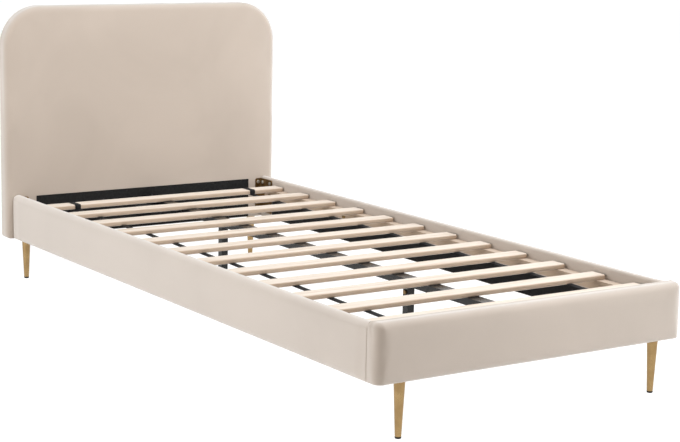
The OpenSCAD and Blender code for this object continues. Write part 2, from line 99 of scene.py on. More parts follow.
class NodeSketch:
    """Builds one node tree with short calls."""

    def __init__(self, tree: bpy.types.NodeTree) -> None:
        """Takes the tree in hand.

        Args:
            tree: The node tree that the calls add to.
        """
        self.tree = tree

    def add(self, kind: str, sockets: dict | None = None, **settings) -> bpy.types.Node:
        """Adds a node.

        Args:
            kind: The node's type name.
            sockets: Input name or number to a value or to an output that feeds it.
            **settings: The node's own properties.

        Returns:
            The new node.
        """
        node = self.tree.nodes.new(kind)
        for key, value in settings.items():
            setattr(node, key, value)
        for key, value in (sockets or {}).items():
            self.feed(node.inputs[key], value)
        return node

    def feed(self, socket: bpy.types.NodeSocket, value) -> None:
        """Links an output to the socket, or sets the socket's value."""
        if isinstance(value, bpy.types.NodeSocket):
            self.tree.links.new(value, socket)
        else:
            socket.default_value = value

    def math(self, operation: str, first, second=0.0) -> bpy.types.NodeSocket:
        """Adds a Math node and returns its output."""
        return self.add("ShaderNodeMath", {0: first, 1: second}, operation=operation).outputs[0]

    def ramp(self, value, low: float, high: float, first, last) -> bpy.types.NodeSocket:
        """Maps value from low..high to first..last, clamped."""
        sockets = {"Value": value, "From Min": low, "From Max": high, "To Min": first, "To Max": last}
        return self.add("ShaderNodeMapRange", sockets).outputs[0]

    def blend(self, factor, first, second) -> bpy.types.NodeSocket:
        """Mixes two colours, given as sockets or as red, green and blue."""
        node = self.add("ShaderNodeMix", {"Factor": factor}, data_type="RGBA")
        for socket, value in ((node.inputs[6], first), (node.inputs[7], second)):
            self.feed(socket, (*value, 1.0) if isinstance(value, tuple) else value)
        return node.outputs[2]


class MaterialSketch(NodeSketch):
    """Builds one object material round a Principled shader, on Object coordinates in metres."""

    def __init__(self, name: str, constants: dict) -> None:
        """Makes the material with its shader and its coordinates.

        Args:
            name: The material's name.
            constants: Principled input name to a value that is the same all over.
        """
        self.material = bpy.data.materials.new(name)
        self.material.use_nodes = True
        super().__init__(self.material.node_tree)
        self.tree.nodes.clear()
        self.shader = self.add("ShaderNodeBsdfPrincipled", constants)
        self.add("ShaderNodeOutputMaterial", {"Surface": self.shader.outputs[0]})
        self.place = self.add("ShaderNodeTexCoord").outputs["Object"]

    def stretched(self, scale: tuple[float, float, float]) -> bpy.types.NodeSocket:
        """Object coordinates with a scale of their own along each axis."""
        return self.add("ShaderNodeMapping", {"Vector": self.place, "Scale": scale}).outputs[0]

    def noise(self, scale: float, detail: float = 2.0, vector=None, **more) -> bpy.types.NodeSocket:
        """A noise pattern's value, with scale in cells per metre."""
        sockets = {"Vector": vector or self.place, "Scale": scale, "Detail": detail, **more}
        return self.add("ShaderNodeTexNoise", sockets).outputs["Fac"]

    def cells(self, scale: float) -> bpy.types.NodeSocket:
        """The distance to the middle of the nearest cell, with scale in cells per metre."""
        return self.add("ShaderNodeTexVoronoi", {"Vector": self.place, "Scale": scale}).outputs["Distance"]

    def relief(self, height, depth: float, strength: float = 1.0) -> None:
        """Bumps the shader's surface with a height pattern of that depth in metres."""
        bump = self.add("ShaderNodeBump", {"Height": height, "Distance": depth, "Strength": strength})
        previous = self.shader.inputs["Normal"].links
        if previous:
            self.feed(bump.inputs["Normal"], previous[0].from_socket)
        self.feed(self.shader.inputs["Normal"], bump.outputs[0])

    def finish(self, colour=None, roughness=None) -> bpy.types.Material:
        """Feeds the shader's colour and roughness and returns the material."""
        if colour is not None:
            self.feed(self.shader.inputs["Base Color"], colour)
        if roughness is not None:
            self.feed(self.shader.inputs["Roughness"], roughness)
        return self.material


# Finishes: colours are linear, and the scales of patterns are in cells per metre


@dataclass(frozen=True)
class VelvetFinish:
    """Short-pile beige velvet: soft large mottling, fine pile with painted shade between it, a pale sheen,
    and a painted paler tone at grazing angles.
    """

    deep: Colour = (0.470, 0.398, 0.338)
    light: Colour = (0.525, 0.447, 0.382)
    # painted sheen: the paler colour laid on where the surface is seen at a grazing angle
    painted_grazing_sheen: Colour = (0.76, 0.735, 0.71)
    # painted shade: the darker colour laid into the recesses between the pile
    painted_pile_shade: Colour = (0.40, 0.32, 0.25)
    sheen_tint: Colour = (0.95, 0.98, 1.0)
    sheen: float = 0.72
    brushed_scale: float = 3.2
    pile_scale: float = 1400.0
    thread_scale: float = 380.0

    def build(self) -> bpy.types.Material:
        """Returns the material."""
        sketch = MaterialSketch(
            "velvet",
            {
                "Roughness": 0.9,
                "Specular IOR Level": 0.25,
                "Sheen Weight": self.sheen,
                "Sheen Roughness": 0.4,
                "Sheen Tint": (*self.sheen_tint, 1.0),
            },
        )
        brushed = sketch.noise(self.brushed_scale, 3.0, Distortion=0.6)
        pile = sketch.noise(self.pile_scale)
        thread = sketch.noise(self.thread_scale, 1.0)
        tone = sketch.blend(sketch.ramp(brushed, 0.3, 0.7, 0.0, 1.0), self.deep, self.light)
        # Painted sheen: the colour turns paler where the surface is seen at a grazing angle, and stays darker
        # face-on.
        facing = sketch.add("ShaderNodeLayerWeight", {"Blend": 0.5}).outputs["Facing"]
        grazing_sheen_tone = sketch.blend(sketch.ramp(facing, 0.0, 0.8, 0.0, 0.5), tone, self.painted_grazing_sheen)
        # Painted shade: the low spots of the pile noise take a darker colour, as shade between the tufts.
        shaded = sketch.blend(sketch.ramp(pile, 0.35, 0.65, 0.12, 0.0), grazing_sheen_tone, self.painted_pile_shade)
        sketch.relief(thread, 0.25 * MM, 0.35)
        sketch.relief(pile, 0.2 * MM, 0.5)
        return sketch.finish(shaded)


@dataclass(frozen=True)
class DustClothFinish:
    """Black non-woven cloth with pressed dots."""

    black: Colour = (0.008, 0.008, 0.008)
    worn: Colour = (0.016, 0.016, 0.016)
    dot_scale: float = 420.0
    fibre_scale: float = 160.0

    def build(self) -> bpy.types.Material:
        """Returns the material."""
        constants = {"Roughness": 0.8, "Specular IOR Level": 0.12, "Sheen Weight": 0.04}
        sketch = MaterialSketch("black_dust_cloth", constants)
        dots = sketch.cells(self.dot_scale)
        fibre = sketch.noise(self.fibre_scale, 4.0)
        tone = sketch.blend(sketch.ramp(fibre, 0.35, 0.7, 0.0, 1.0), self.black, self.worn)
        sketch.relief(dots, 0.25 * MM, 0.5)
        return sketch.finish(tone)


@dataclass(frozen=True)
class WebbingFinish:
    """Black woven webbing with ribs across its length, on the lay that its band stores.

    The wave numbers are the wave texture's scale for a pitch of one metre.
    """

    black: Colour = (0.007, 0.007, 0.008)
    rib: Colour = (0.018, 0.018, 0.019)
    rib_pitch: float = 2.2 * MM
    rib_waves: float = 0.314
    yarn_waves: float = 0.22

    def build(self) -> bpy.types.Material:
        """Returns the material."""
        sketch = MaterialSketch("black_webbing", {"Roughness": 0.7, "Specular IOR Level": 0.15})
        stored = [sketch.add("ShaderNodeAttribute", attribute_name=name) for name in ("across", "along")]
        lay = {axis: node.outputs["Fac"] for axis, node in enumerate(stored)}
        woven = sketch.add("ShaderNodeCombineXYZ", lay).outputs[0]
        lengthways = {"Vector": woven, "Scale": self.rib_waves / self.rib_pitch, "Distortion": 0.4}
        along = sketch.add("ShaderNodeTexWave", lengthways, bands_direction="Y")
        sideways = {"Vector": woven, "Scale": self.yarn_waves / self.rib_pitch}
        across = sketch.add("ShaderNodeTexWave", sideways, bands_direction="X")
        ribs = sketch.math("MULTIPLY", along.outputs["Fac"], across.outputs["Fac"])
        sketch.relief(ribs, 0.35 * MM, 0.6)
        return sketch.finish(sketch.blend(ribs, self.black, self.rib))


@dataclass(frozen=True)
class ThreadFinish:
    """Twisted black sewing thread."""

    black: Colour = (0.016, 0.016, 0.017)
    lit: Colour = (0.05, 0.05, 0.052)
    twist_scale: float = 2600.0

    def build(self) -> bpy.types.Material:
        """Returns the material."""
        sketch = MaterialSketch("black_thread", {"Roughness": 0.45, "Sheen Weight": 0.1})
        twist = sketch.noise(self.twist_scale)
        sketch.relief(twist, 0.06 * MM, 0.5)
        return sketch.finish(sketch.blend(twist, self.black, self.lit))


@dataclass(frozen=True)
class PineFinish:
    """Planed pale pine with grain along X, or along Y for the ledgers, and painted shade on its upright
    faces.
    """

    name: str = "pine"
    pale: Colour = (0.765, 0.69, 0.61)
    grain: Colour = (0.58, 0.46, 0.36)
    # painted shade: the darker colour laid on the upright side faces
    painted_side_shade: Colour = (0.46, 0.345, 0.25)
    knot: Colour = (0.36, 0.22, 0.12)
    along_y: bool = False
    grain_along: float = 1.6
    grain_across: float = 26.0
    knot_scale: float = 4.2
    knot_size: float = 0.035

    def build(self) -> bpy.types.Material:
        """Returns the material."""
        sketch = MaterialSketch(self.name, {"Specular IOR Level": 0.35})
        long, short = self.grain_along, self.grain_across
        lengthways = sketch.stretched((short, long, short) if self.along_y else (long, short, short))
        rings = sketch.add(
            "ShaderNodeTexWave",
            {"Vector": lengthways, "Scale": 1.7, "Distortion": 5.5, "Detail": 3.0, "Detail Scale": 1.3},
            bands_direction="Z",
        ).outputs["Fac"]
        fibres = sketch.noise(9.0, 6.0, lengthways)
        knots = sketch.ramp(sketch.cells(self.knot_scale), 0.0, self.knot_size, 0.85, 0.0)
        tone = sketch.blend(sketch.ramp(rings, 0.35, 1.0, 0.0, 0.55), self.pale, self.grain)
        drawn = sketch.blend(sketch.ramp(fibres, 0.4, 0.75, 0.0, 0.35), tone, self.grain)
        # Painted shade: faces that are not level, such as the slats' upright sides, take a darker colour, as
        # if in shade.
        normal = sketch.add("ShaderNodeNewGeometry").outputs["Normal"]
        upright = sketch.add("ShaderNodeSeparateXYZ", {0: normal}).outputs[2]
        edge = sketch.ramp(sketch.math("ABSOLUTE", upright), 0.45, 0.99, 0.9, 0.0)
        side_shaded_tone = sketch.blend(edge, drawn, self.painted_side_shade)
        sketch.relief(fibres, 0.15 * MM, 0.4)
        rough = sketch.ramp(fibres, 0.3, 0.8, 0.5, 0.66)
        return sketch.finish(sketch.blend(knots, side_shaded_tone, self.knot), rough)


@dataclass(frozen=True)
class ChipboardFinish:
    """Raw board of pressed wood chips."""

    chip: Colour = (0.55, 0.39, 0.24)
    dark: Colour = (0.30, 0.19, 0.10)
    chip_scale: float = 260.0

    def build(self) -> bpy.types.Material:
        """Returns the material."""
        sketch = MaterialSketch("chipboard", {"Roughness": 0.85})
        chips = sketch.cells(self.chip_scale)
        tone = sketch.blend(sketch.ramp(chips, 0.1, 0.7, 0.0, 1.0), self.chip, self.dark)
        sketch.relief(chips, 0.4 * MM, 0.5)
        return sketch.finish(tone)


@dataclass(frozen=True)
class PlatedFinish:
    """Plated metal whose tone and polish drift a little over the surface, brushed along Z if asked."""

    name: str
    bright: Colour
    dull: Colour
    polish: float
    drift: float = 0.08
    patch_scale: float = 40.0
    fine_scale: float = 900.0
    brushed: bool = False
    brush_stretch: float = 0.04

    def build(self) -> bpy.types.Material:
        """Returns the material."""
        sketch = MaterialSketch(self.name, {"Metallic": 1.0})
        patches = sketch.noise(self.patch_scale, 4.0)
        strokes = sketch.stretched((1.0, 1.0, self.brush_stretch)) if self.brushed else None
        fine = sketch.noise(self.fine_scale, 2.0, strokes)
        tone = sketch.blend(sketch.ramp(patches, 0.3, 0.7, 0.0, 1.0), self.bright, self.dull)
        both = sketch.math("ADD", sketch.math("MULTIPLY", patches, 0.6), sketch.math("MULTIPLY", fine, 0.4))
        rough = sketch.ramp(both, 0.3, 0.7, self.polish - self.drift, self.polish + self.drift)
        sketch.relief(fine, 0.02 * MM, 0.3)
        return sketch.finish(tone, rough)


@dataclass(frozen=True)
class PowderCoatFinish:
    """Glossy black powder coat with a slight orange peel."""

    black: Colour = (0.006, 0.006, 0.007)
    scuffed: Colour = (0.014, 0.014, 0.015)
    peel_scale: float = 420.0
    scuff_scale: float = 35.0

    def build(self) -> bpy.types.Material:
        """Returns the material."""
        constants = {"Specular IOR Level": 0.3, "Coat Weight": 0.12, "Coat Roughness": 0.15}
        sketch = MaterialSketch("black_powder_coat", constants)
        peel = sketch.noise(self.peel_scale)
        scuffs = sketch.noise(self.scuff_scale, 5.0)
        tone = sketch.blend(sketch.ramp(scuffs, 0.5, 0.8, 0.0, 1.0), self.black, self.scuffed)
        sketch.relief(peel, 0.1 * MM, 0.35)
        return sketch.finish(tone, sketch.ramp(scuffs, 0.3, 0.7, 0.2, 0.32))


@dataclass(frozen=True)
class MouldedPlasticFinish:
    """Black moulded plastic with a fine spark texture."""

    black: Colour = (0.006, 0.006, 0.006)
    grey: Colour = (0.012, 0.012, 0.012)
    spark_scale: float = 1100.0
    cloud_scale: float = 60.0

    def build(self) -> bpy.types.Material:
        """Returns the material."""
        sketch = MaterialSketch("black_plastic", {"Specular IOR Level": 0.2})
        spark = sketch.noise(self.spark_scale)
        tone = sketch.blend(sketch.noise(self.cloud_scale, 3.0), self.black, self.grey)
        sketch.relief(spark, 0.05 * MM, 0.5)
        return sketch.finish(tone, sketch.ramp(spark, 0.3, 0.7, 0.42, 0.58))


class Finishes:
    """All finishes of the bed, built once, and the nodes that wear them."""

    def __init__(self) -> None:
        """Builds every material."""
        self.velvet = VelvetFinish().build()
        self.dust_cloth = DustClothFinish().build()
        self.webbing = WebbingFinish().build()
        self.thread = ThreadFinish().build()
        self.pine = PineFinish().build()
        ledger_tones = ((0.58, 0.48, 0.395), (0.45, 0.34, 0.25))
        self.ledger_pine = PineFinish("ledger_pine", *ledger_tones, along_y=True).build()
        self.chipboard = ChipboardFinish().build()
        brass_tones = ((0.385, 0.26, 0.12), (0.30, 0.195, 0.088))
        self.brass = PlatedFinish("satin_brass", *brass_tones, 0.3, brushed=True).build()
        self.bronzed = PlatedFinish("yellow_zinc", (0.28, 0.18, 0.077), (0.16, 0.098, 0.04), 0.38).build()
        self.zinc = PlatedFinish("bright_zinc", (0.50, 0.48, 0.43), (0.34, 0.32, 0.28), 0.34).build()
        self.dark_wire = PlatedFinish("dark_wire", (0.05, 0.05, 0.052), (0.025, 0.025, 0.026), 0.45).build()
        self.powder = PowderCoatFinish().build()
        self.plastic = MouldedPlasticFinish().build()
        self.by_slot = {
            "fabric": self.velvet,
            "dust_cloth": self.dust_cloth,
            "webbing": self.webbing,
            "board": self.chipboard,
            "slat_wood": self.pine,
            "brass": self.brass,
            "bronzed_steel": self.bronzed,
            "bolt_steel": self.zinc,
            "black_steel": self.powder,
            "black_plastic": self.plastic,
        }

    def dress_nodes(self, frame: dict) -> None:
        """Gives every node of the frame the finish of its slot.
        """
        for part in frame["record"]["subparts"]:
            node = frame["nodes"][part["node"]]
            finish = self.by_slot[part["material_slot"]]
            if part["node"].endswith("_ledger"):
                finish = self.ledger_pine
            node.data.materials.clear()
            node.data.materials.append(finish)


# Meshes


def new_piece(name: str, mesh: bpy.types.Mesh, finish: bpy.types.Material) -> bpy.types.Object:
    """Puts a finished mesh in the scene as a smooth piece that rides on the bed.

    Args:
        name: The piece's name.
        mesh: Its mesh, in the bed's own frame.
        finish: Its material.

    Returns:
        The new object.
    """
    mesh.materials.clear()
    mesh.materials.append(finish)
    mesh.polygons.foreach_set("use_smooth", [True] * len(mesh.polygons))
    mesh.update()
    piece = bpy.data.objects.new(name, mesh)
    bpy.context.scene.collection.objects.link(piece)
    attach(piece, BED)
    LOG.info("%s: %d faces", name, len(mesh.polygons))
    return piece


def points_of(mesh: bpy.types.Mesh) -> np.ndarray:
    """A mesh's points, one row each."""
    return np.array([vertex.co[:] for vertex in mesh.vertices])


def closed_mesh(name: str, points: np.ndarray, faces: list[tuple[int, ...]]) -> bpy.types.Mesh:
    """Makes a mesh, merges its doubles and turns its faces outwards.

    Args:
        name: The mesh's name.
        points: Its points, one row each, in metres.
        faces: Tuples of point numbers.

    Returns:
        The new mesh.
    """
    mesh = bpy.data.meshes.new(name)
    mesh.from_pydata([tuple(point) for point in points], [], faces)
    work = bmesh.new()
    work.from_mesh(mesh)
    bmesh.ops.remove_doubles(work, verts=work.verts, dist=0.005 * MM)
    bmesh.ops.recalc_face_normals(work, faces=work.faces)
    work.to_mesh(mesh)
    work.free()
    mesh.update()
    return mesh


def ring_faces(rings: int, size: int) -> list[tuple[int, ...]]:
    """Quads between closed rings of points that follow each other, with both ends capped.

    Args:
        rings: How many rings there are.
        size: How many points each ring has.

    Returns:
        Tuples of point numbers.
    """
    faces = []
    for row in range(rings - 1):
        for i in range(size):
            j = (i + 1) % size
            faces.append((row * size + i, row * size + j, (row + 1) * size + j, (row + 1) * size + i))
    faces.append(tuple(range(size)))
    faces.append(tuple(range((rings - 1) * size, rings * size)))
    return faces


def grid_faces(wide: int, high: int, start: int = 0) -> list[tuple[int, ...]]:
    """Quads of a grid of points, row after row.

    Args:
        wide: Steps along each row.
        high: Steps from the first row to the last.
        start: The number of the grid's first point.

    Returns:
        Tuples of point numbers.
    """
    faces = []
    for row in range(high):
        for i in range(wide):
            a = start + row * (wide + 1) + i
            faces.append((a, a + 1, a + wide + 2, a + wide + 1))
    return faces


@dataclass
class RoundedOutline:
    """A rectangle with its own round at each corner, sampled so that opposite sides match.

    The sides run from the middle of one corner's arc to the middle of the next, anticlockwise
    from the lower left corner, so that a grid can be spanned between them.
    """

    low: tuple[float, float]
    high: tuple[float, float]
    rounds: FourSides
    along: int = 40
    up: int = 30
    arc: int = 8
    least_round: float = 0.2 * MM

    @property
    def steps(self) -> tuple[int, int]:
        """How many steps a grid inside the outline has along and up."""
        return self.along + 2 * self.arc, self.up + 2 * self.arc

    def corners(self) -> list[tuple[float, float]]:
        """Centres of the four corner arcs."""
        (x0, y0), (x1, y1), r = self.low, self.high, self.rounds
        return [
            (x0 + r[0], y0 + r[0]),
            (x1 - r[1], y0 + r[1]),
            (x1 - r[2], y1 - r[2]),
            (x0 + r[3], y1 - r[3]),
        ]

    def side(self, k: int) -> tuple[np.ndarray, np.ndarray]:
        """Points and outward normals of side k, both ends included.

        Args:
            k: 0 for the bottom, then anticlockwise.

        Returns:
            The points and the normals, one row each.
        """
        centres, middle = self.corners(), -math.pi / 2 + k * math.pi / 2
        first, last = (centres[k], self.rounds[k]), (centres[(k + 1) % 4], self.rounds[(k + 1) % 4])
        points, normals = [], []

        def arc_point(corner: tuple, angle: float) -> None:
            """Adds the corner arc's point at that angle."""
            normal = np.array([math.cos(angle), math.sin(angle)])
            points.append(np.array(corner[0]) + corner[1] * normal)
            normals.append(normal)

        for i in range(self.arc + 1):
            arc_point(first, middle - math.pi / 4 * (1 - i / self.arc))
        start, straight = points[-1], self.along if k % 2 == 0 else self.up
        out = np.array([math.cos(middle), math.sin(middle)])
        end = np.array(last[0]) + last[1] * out
        for i in range(1, straight):
            points.append(start + (end - start) * i / straight)
            normals.append(out)
        for i in range(self.arc + 1):
            arc_point(last, middle + math.pi / 4 * i / self.arc)
        return np.array(points), np.array(normals)

    def drawn_in(self, insets: FourSides) -> "RoundedOutline":
        """The outline inside this one, with an inset of its own for each side."""
        low = (self.low[0] + insets[3], self.low[1] + insets[0])
        high = (self.high[0] - insets[1], self.high[1] - insets[2])
        shrunk = (self.rounds[k] - (insets[k - 1] + insets[k]) / 2 for k in range(4))
        rounds = tuple(max(corner, self.least_round) for corner in shrunk)
        return RoundedOutline(low, high, rounds, self.along, self.up, self.arc)

    def loop(self) -> tuple[np.ndarray, np.ndarray]:
        """Points and outward normals of the whole outline, without a repeated point."""
        sides = [self.side(k) for k in range(4)]
        return tuple(np.concatenate([side[part][:-1] for side in sides]) for part in (0, 1))


def coons_grid(loop: np.ndarray, wide: int, high: int) -> np.ndarray:
    """Spans a grid inside a closed loop of 2 * (wide + high) points.

    Args:
        loop: The loop's points, anticlockwise from the grid's first corner.
        wide: Steps along the grid's first direction.
        high: Steps along its second direction.

    Returns:
        Points in rows of the second direction: (high + 1, wide + 1, dimensions).
    """
    bottom = loop[: wide + 1]
    right = loop[wide : wide + high + 1]
    top = loop[wide + high : 2 * wide + high + 1][::-1]
    left = np.concatenate([loop[2 * wide + high :], loop[:1]])[::-1]
    u = np.linspace(0, 1, wide + 1)[None, :, None]
    v = np.linspace(0, 1, high + 1)[:, None, None]
    ruled = (1 - v) * bottom[None] + v * top[None] + (1 - u) * left[:, None] + u * right[:, None]
    lower_corners = (1 - u) * (1 - v) * bottom[0] + u * (1 - v) * bottom[-1]
    corners = lower_corners + (1 - u) * v * top[0] + u * v * top[-1]
    return ruled - corners


@dataclass
class PaddedBoard:
    """A pad between two outlined faces, with a round and a belly of its own along each side.

    The outline lies in the first two axes, and the depth in the third. The crowned face comes first.
    Its crown starts where the second axis is at crown_bare, and is whole from crown_full on.
    """

    outline: RoundedOutline
    axes: tuple[int, int, int]
    face: float
    back: float
    face_rounds: FourSides
    back_rounds: FourSides
    belly: FourSides = (0.0, 0.0, 0.0, 0.0)
    crown: float = 0.0
    crown_bare: float = -1.0
    crown_full: float = -0.5
    edge_steps: int = 7
    wall_steps: int = 5

    def shares(self) -> np.ndarray:
        """How far each point of the outline belongs to each of its four sides."""
        _, normals = self.outline.loop()
        faces = [-normals[:, 1], normals[:, 0], normals[:, 1], -normals[:, 0]]
        return np.column_stack([np.maximum(face, 0.0) ** 2 for face in faces])

    def ring(self, insets: FourSides, depths: np.ndarray) -> np.ndarray:
        """One ring of the pad, drawn in from the outline.

        Args:
            insets: How far each side lies inside the outline.
            depths: How deep each point lies behind the crowned face.

        Returns:
            Points as first axis, second axis and depth.
        """
        loop, _ = self.outline.drawn_in(insets).loop()
        _, normals = self.outline.loop()
        t = np.clip(depths / abs(self.back - self.face) * 2 - 1, -1, 1)
        push = (self.shares() @ np.array(self.belly)) * (1 - t**4)
        return np.column_stack([loop + normals * push[:, None], depths])

    def grid(self, rim: np.ndarray, crown: float) -> np.ndarray:
        """Points of one face's grid inside its rim, crowned towards the front."""
        wide, high = self.outline.steps
        grid = coons_grid(rim, wide, high)
        u = np.linspace(-1, 1, wide + 1)[None, :]
        v = np.linspace(-1, 1, high + 1)[:, None]
        share = np.clip((grid[..., 1] - self.crown_bare) / (self.crown_full - self.crown_bare), 0, 1)
        grid[..., 2] -= crown * (1 - u**6) * (1 - v**6) * share**2 * (3 - 2 * share)
        return grid

    def mesh(self, name: str) -> bpy.types.Mesh:
        """Builds the closed mesh.

        Args:
            name: The mesh's name.

        Returns:
            The new mesh.
        """
        shares, depth = self.shares(), abs(self.back - self.face)
        first, last = shares @ np.array(self.face_rounds), shares @ np.array(self.back_rounds)
        turns = np.linspace(0, math.pi / 2, self.edge_steps + 1)
        rings = []
        for angle in turns:
            insets = tuple(r * (1 - math.sin(angle)) for r in self.face_rounds)
            rings.append(self.ring(insets, first * (1 - math.cos(angle))))
        for i in range(1, self.wall_steps):
            rings.append(self.ring((0.0,) * 4, first + (depth - last - first) * i / self.wall_steps))
        for angle in turns[::-1]:
            insets = tuple(r * (1 - math.sin(angle)) for r in self.back_rounds)
            rings.append(self.ring(insets, depth - last * (1 - math.cos(angle))))
        size = len(shares)
        faces = ring_faces(len(rings), size)[:-2]
        wide, high = self.outline.steps
        points, start = list(rings), size * len(rings)
        for rim, crown in ((rings[0], self.crown), (rings[-1], 0.0)):
            points.append(self.grid(rim, crown).reshape(-1, 3))
            faces += grid_faces(wide, high, start)
            start += (wide + 1) * (high + 1)
        laid = np.concatenate(points)
        out = np.empty_like(laid)
        out[:, self.axes[0]], out[:, self.axes[1]] = laid[:, 0], laid[:, 1]
        out[:, self.axes[2]] = self.face + math.copysign(1.0, self.back - self.face) * laid[:, 2]
        return closed_mesh(name, out, faces)


# Padded covers


def eased(value: float, low: float, high: float) -> float:
    """Goes smoothly from 0 at low to 1 at high."""
    t = min(max((value - low) / (high - low), 0.0), 1.0)
    return t * t * (3 - 2 * t)


@dataclass(frozen=True)
class Stuffing:
    """Swells a cover over its padding: a short cloth simulation, softly capped, and a few soft dents."""

    pressure: float = 4.0
    cap: float = 1.5 * MM
    last_frame: int = 20
    dent: float = 0.35 * MM
    dent_size: float = 0.17
    mass: float = 0.25
    stretch: float = 12.0
    shear: float = 4.0
    bending: float = 1.0

    def fill(self, mesh: bpy.types.Mesh, free: np.ndarray, seed: float) -> None:
        """Changes the mesh where its cover is free.

        Args:
            mesh: The cover's mesh.
            free: For each point, 0 where the cover is held to its board and 1 where it is free.
            seed: Where in the noise field the dents lie.
        """
        normals = np.array([vertex.normal[:] for vertex in mesh.vertices])
        flat = points_of(mesh)
        shift = Vector((seed, seed * 0.7, seed * 1.3))
        dents = np.array([noise.noise(vertex.co / self.dent_size + shift) for vertex in mesh.vertices])
        moved = self.simulated(mesh, free) - flat
        size = np.linalg.norm(moved, axis=1)
        soft = self.cap * np.tanh(size / self.cap) / np.maximum(size, 1e-9)
        placed = flat + moved * (soft * free)[:, None] + normals * (dents * self.dent * free)[:, None]
        mesh.vertices.foreach_set("co", placed.ravel())
        mesh.update()

    def simulated(self, mesh: bpy.types.Mesh, free: np.ndarray) -> np.ndarray:
        """Where the points come to rest under the padding's pressure; a copy is what moves."""
        scene = bpy.context.scene
        copy = bpy.data.objects.new("cover_swelling", mesh.copy())
        scene.collection.objects.link(copy)
        held = copy.vertex_groups.new(name="held")
        for i, share in enumerate(free):
            held.add([i], 1.0 - float(share), "REPLACE")
        cloth = copy.modifiers.new("cover_swelling", "CLOTH")
        settings = cloth.settings
        settings.quality, settings.mass = 4, self.mass
        settings.tension_stiffness, settings.compression_stiffness = self.stretch, self.stretch
        settings.shear_stiffness, settings.bending_stiffness = self.shear, self.bending
        settings.vertex_group_mass = "held"
        settings.use_pressure, settings.uniform_pressure_force = True, self.pressure
        settings.effector_weights.gravity = 0.0
        cloth.collision_settings.use_collision = False
        cloth.point_cache.frame_start, cloth.point_cache.frame_end = 1, self.last_frame
        for step in range(1, self.last_frame + 1):
            scene.frame_set(step)
        graph = bpy.context.evaluated_depsgraph_get()
        places = points_of(copy.evaluated_get(graph).data)
        spare = copy.data
        bpy.data.objects.remove(copy)
        bpy.data.meshes.remove(spare)
        scene.frame_set(1)
        LOG.info("swelling before its cap: up to %.1f mm", np.abs(places - points_of(mesh)).max() / MM)
        return places


